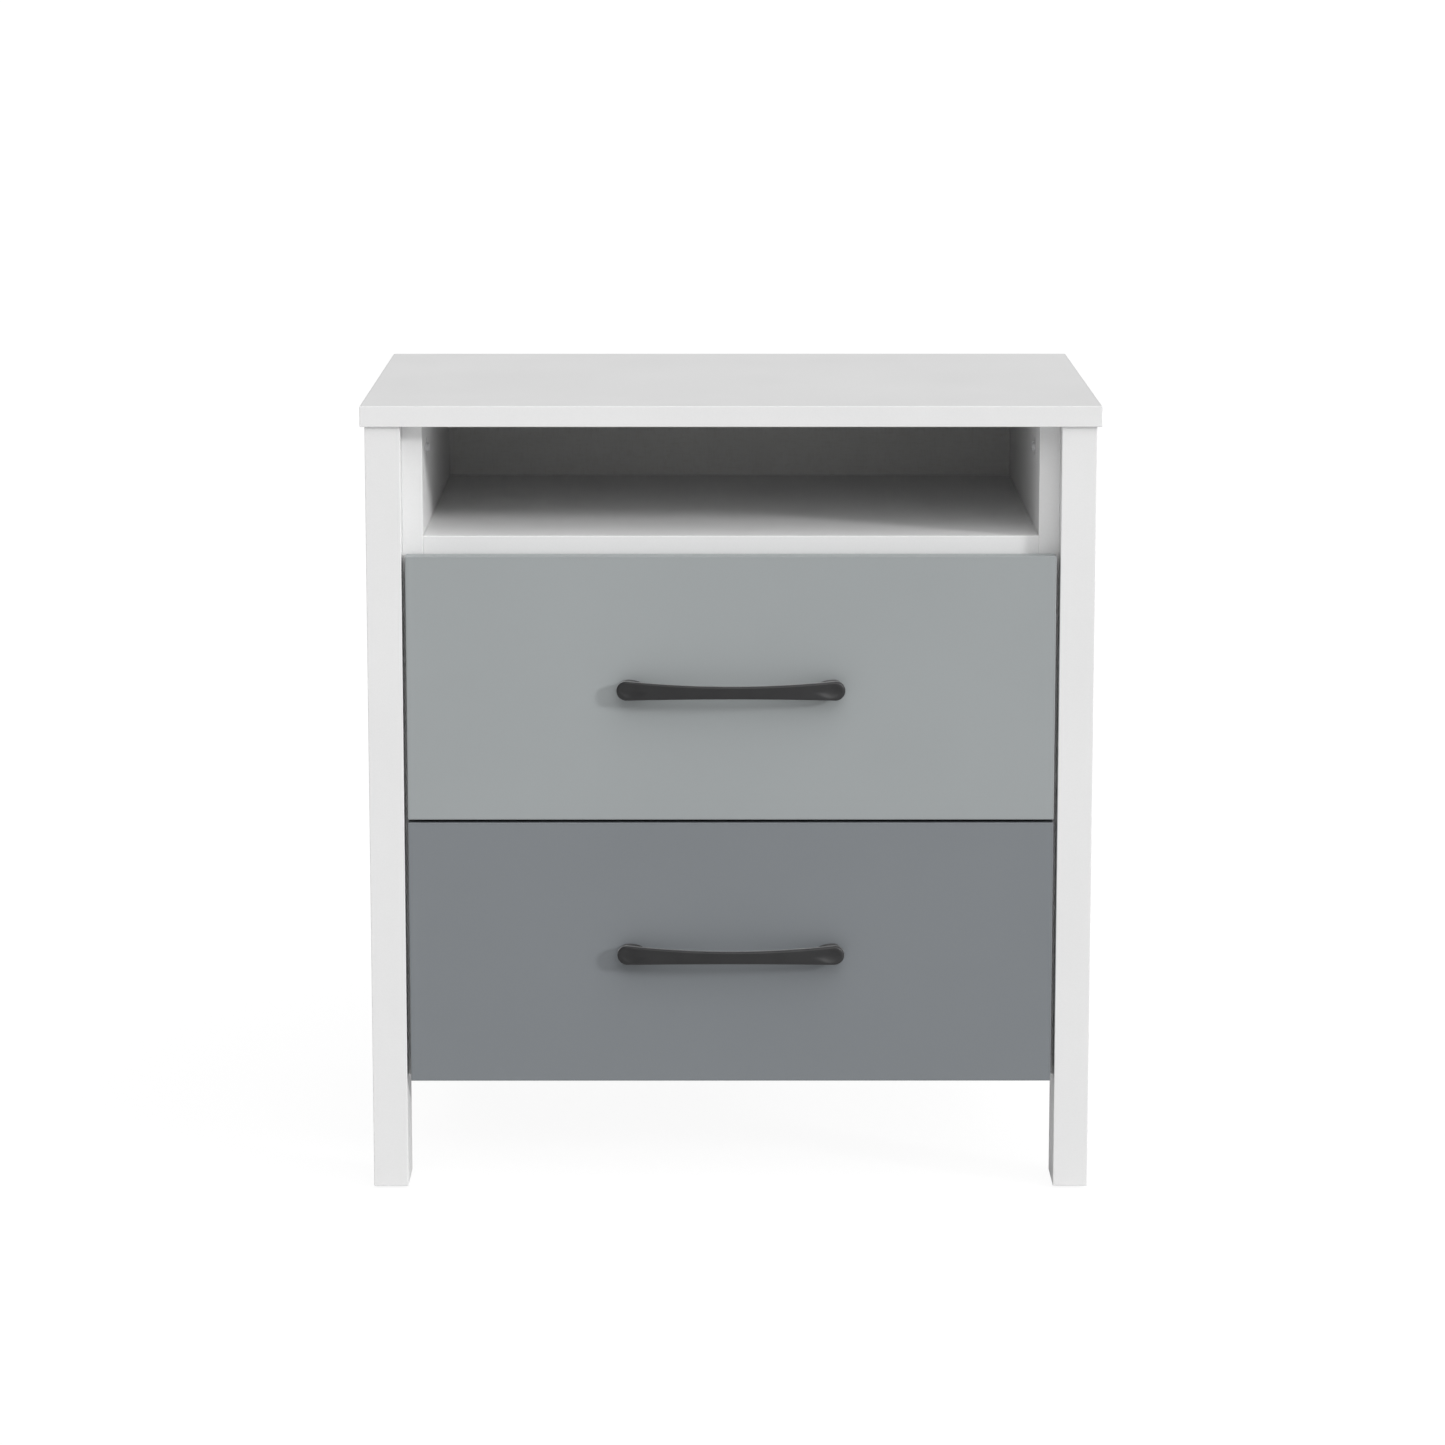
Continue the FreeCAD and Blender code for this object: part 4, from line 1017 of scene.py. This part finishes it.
def punch_holes(shape, web, height, radius=2.2, half=4.0):
    """Round holes along a web that stands at a distance from the wall side."""
    lengthways, upright = Vector((0, 1, 0)), Vector((0, 0, 1))
    cuts = [(upright, height - half), (upright, height + half)]
    cuts += [(lengthways, step + offset) for step in HOLE_STEPS for offset in (-half, half)]
    for axis, offset in cuts:
        around = {item for f in shape.faces if in_web(f, web) for item in (*f.verts, *f.edges, f)}
        bmesh.ops.bisect_plane(shape, geom=list(around), plane_co=axis * offset * MM, plane_no=axis)
    for step in HOLE_STEPS:
        centre = Vector((web, step, height)) * MM
        square = min(shape.faces, key=lambda f: (f.calc_center_median() - centre).length)
        bmesh.ops.inset_individual(shape, faces=[square], thickness=MM)
        bmesh.ops.subdivide_edges(shape, edges=list(square.edges), cuts=3)
        for vert in square.verts:
            vert.co = centre + (vert.co - centre).normalized() * radius * MM
        bmesh.ops.delete(shape, geom=[square], context="FACES")


for drawer in DRAWERS:
    short = drawer.split("_")[0]
    for side in ("left", "right"):
        fold_rail("{}_{}_cabinet_rail".format(short, side), "cabinet", CABINET_LINE, web=0, hole_height=15)
        fold_rail("{}_{}_rail".format(drawer, side), drawer, DRAWER_LINE, web=8.5, hole_height=17)


# %% Rollers and rivets
def nylon_roller(node_name):
    """Tyre with a bore, rounded rims and dished faces, on its own turning body."""
    low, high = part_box(node_name)
    middle, width = (low + high) / 2, (high.x - low.x) / MM
    bore, tyre, dish = 2.6, 9.0, 0.7
    half = []
    for side in (1, -1):
        face = side * width / 2
        half.append([(bore, face), (bore + 1.6, face), (bore + 2.1, face - side * dish),
                     (tyre - 2.1, face - side * dish), (tyre - 1.6, face), (tyre - 0.5, face),
                     (tyre - 0.15, face - side * 0.15), (tyre, face - side * 0.5)])
    shape = bmesh.new()
    turned(shape, half[0] + half[1][::-1], steps=48, closed=True)
    pattern = as_pattern(shape, node_name + "_pattern")
    piece = new_piece()
    set_in(piece, pattern, middle, inward(middle))
    hand_over(piece, node_name, node_name, NYLON)


def roller_rivet(name, length, shoulder, gap, shank=2.5, head=3.8, head_height=1.0):
    """Rivet with a domed head, a bare shank for the roller, a shoulder, and a tail in the web."""
    back = -head_height - gap
    shape = bmesh.new()
    turned(shape, [(0, 0), (head * 0.55, -0.08), (head * 0.85, -0.4), (head, -head_height),
                   (shank, -head_height), (shank, back), (head, back), (head, back - shoulder),
                   (shank, back - shoulder), (shank, -length + 0.2), (shank - 0.2, -length), (0, -length)],
           steps=28)
    return as_pattern(shape, name)


CABINET_RIVET = roller_rivet("cabinet_rivet", length=9.1, shoulder=0.9, gap=6.2)
DRAWER_RIVET = roller_rivet("drawer_rivet", length=11.1, shoulder=3.8, gap=5.3)
fit_out("cabinet_roller_rivets", "cabinet", CABINET_RIVET, inward, *ZINC)
for drawer in DRAWERS:
    short = drawer.split("_")[0]
    fit_out(drawer + "_roller_rivets", drawer, DRAWER_RIVET, outward, *ZINC)
    for side in ("left", "right"):
        nylon_roller("{}_{}_cabinet_roller".format(short, side))
        nylon_roller("{}_{}_roller".format(drawer, side))

# %% [markdown]
# ## Bow handles
#
# The handles are the one piece of the design that the hand knows: a die-cast bar that is slim in
# the middle, widens into round ends and bows out towards the fingers. Each end carries a shallow
# dish like the bowl of a spoon, and the dish is what catches the softbox.
#
# A box with a bevel would give straight edges, and a subdivided box would lose the crisp rim. Here
# one closed outline is grown ring by ring instead: over the rim's rounding and then in towards the
# spine of the bar, front and back. All the rings share the outline's spacing, so the surface stays
# smooth, and the dish is pressed into the front rings only. Each foot is a turned cone whose inner
# half is then stretched, so that it runs out along the bar.

# %% The bar
HANDLE_END = 81.2
HANDLE_END_RADIUS = 7.5
HANDLE_WAIST = 4.9
HANDLE_THICKNESS = 6.5
HANDLE_RIM = 1.6
HANDLE_BOW = 9.0
HANDLE_CENTRES = 160.0
DISH_DEPTH = 1.35
DISH_INNER, DISH_OUTER = 62.0, 86.5
DISH_TIP, DISH_SPREAD = 0.6, 5.2
DISH_LEAN, DISH_ROUNDING = 1.6, 1.3
CAP_STEPS, FLANK_STEPS = 24, 64
RIM_ANGLES = (0, 18, 36, 54, 72, 90)
FACE_SHARES = (0.88, 0.76, 0.64, 0.5, 0.36, 0.22, 0.1, 0.0)


def half_height(x):
    """Half height of the bar, slim in the middle."""
    return HANDLE_WAIST + (HANDLE_END_RADIUS - HANDLE_WAIST) * (x / HANDLE_END) ** 2


def outline_point(step):
    """Point on the bar's outline and the point of the spine behind it, anticlockwise from below right."""
    half_turn = CAP_STEPS + FLANK_STEPS
    side = 1 if step < half_turn else -1
    step %= half_turn
    if step < CAP_STEPS:
        angle = math.pi * (step / CAP_STEPS - 0.5)
        spine = HANDLE_END
        x, z = spine + HANDLE_END_RADIUS * math.cos(angle), HANDLE_END_RADIUS * math.sin(angle)
    else:
        spine = HANDLE_END * math.sin(math.pi * (0.5 - (step - CAP_STEPS) / FLANK_STEPS))
        x, z = spine, half_height(spine)
    return Vector((side * x, 0, side * z)), Vector((side * spine, 0, 0))


def dish(x, z):
    """Depth of the spoon-shaped hollow near each end."""
    along = (abs(x) - DISH_INNER) / (DISH_OUTER - DISH_INNER)
    if not 0 < along < 1:
        return 0.0
    width = math.sin(math.pi * along ** DISH_LEAN)
    across = 1 - (z / (DISH_TIP + DISH_SPREAD * width)) ** 2
    return DISH_DEPTH * width * max(0.0, across) ** DISH_ROUNDING


def rim_and_face():
    """(inset from the outline, share of what is left, depth behind the front) of each ring."""
    arc = [math.radians(angle) for angle in RIM_ANGLES]
    rim = [(HANDLE_RIM * (1 - math.cos(a)), 1.0, HANDLE_RIM * (1 - math.sin(a))) for a in arc]
    return rim + [(HANDLE_RIM, share, 0.0) for share in FACE_SHARES]


def handle_bar(shape, face_y, reach, height):
    """Bar grown from its outline, front and back; face_y and height in metres, reach in millimetres."""
    steps = 2 * (CAP_STEPS + FLANK_STEPS)
    outline = [outline_point(step) for step in range(steps)]
    for front in (True, False):
        ring = bmesh.ops.create_circle(shape, segments=steps, radius=MM)["verts"]
        edges = [e for e in shape.edges if e.verts[0] in ring and e.verts[1] in ring]
        for number, (inset, share, depth) in enumerate(rim_and_face()):
            if number:
                grown = bmesh.ops.extrude_edge_only(shape, edges=edges)["geom"]
                fresh = {v for v in grown if isinstance(v, bmesh.types.BMVert)}
                edges = [e for e in grown if isinstance(e, bmesh.types.BMEdge) and set(e.verts) <= fresh]
                ring = [next(o for e in v.link_edges for o in e.verts if o in fresh) for v in ring]
            for vert, (rim, spine) in zip(ring, outline):
                radius = rim - spine
                point = spine + radius * (1 - inset / radius.length) * share
                if front:
                    depth_here = depth + (dish(point.x, point.z) if number >= len(RIM_ANGLES) else 0)
                else:
                    depth_here = HANDLE_THICKNESS - depth
                out = reach - HANDLE_BOW * (2 * point.x / HANDLE_CENTRES) ** 2 - depth_here
                vert.co = Vector((point.x * MM, face_y - out * MM, point.z * MM + height))
    bmesh.ops.remove_doubles(shape, verts=shape.verts, dist=0.00001)
    bmesh.ops.bridge_loops(shape, edges=[e for e in shape.edges if e.is_boundary])
    bmesh.ops.recalc_face_normals(shape, faces=shape.faces)


print("bar:", 2 * (HANDLE_END + HANDLE_END_RADIUS), "mm long,", len(rim_and_face()), "rings a side")

# %% Feet, and the two finished handles
FOOT_STRETCH, FOOT_TAPER = 2.0, 0.4


def handle_foot(name, side, length):
    """Foot that is round outside and drawn out toward the middle; its base is at the origin."""
    shape = bmesh.new()
    turned(shape, [(0, 0), (7.1, 0), (7.3, 0.2), (7.3, 0.7), (7.0, 2.2), (6.7, 5.0), (6.6, length),
                   (0, length)], steps=48)
    for vert in shape.verts:
        if vert.co.x * side < 0:
            vert.co.x *= FOOT_STRETCH - FOOT_TAPER * vert.co.z / (length * MM)
    return as_pattern(shape, name)


def handle_set(drawer):
    """One handle on its drawer front."""
    node_name = drawer + "_handle"
    low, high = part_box(node_name)
    face_y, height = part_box(drawer + "_front")[0].y, (low.z + high.z) / 2
    reach = (face_y - low.y) / MM
    piece = new_piece()
    handle_bar(piece, face_y, reach, height)
    for side in (-1, 1):
        foot = handle_foot(f"{drawer}_foot{side}", side, reach - HANDLE_BOW - HANDLE_THICKNESS / 2)
        set_in(piece, foot, Vector((side * HANDLE_CENTRES / 2 * MM, face_y, height)), Vector((0, -1, 0)))
    print(node_name, "-", len(piece.faces), "faces, reaches", round(reach, 1), "mm")
    hand_over(piece, node_name, drawer, BLACK_COAT, sharp=math.radians(40))


for drawer in DRAWERS:
    handle_set(drawer)
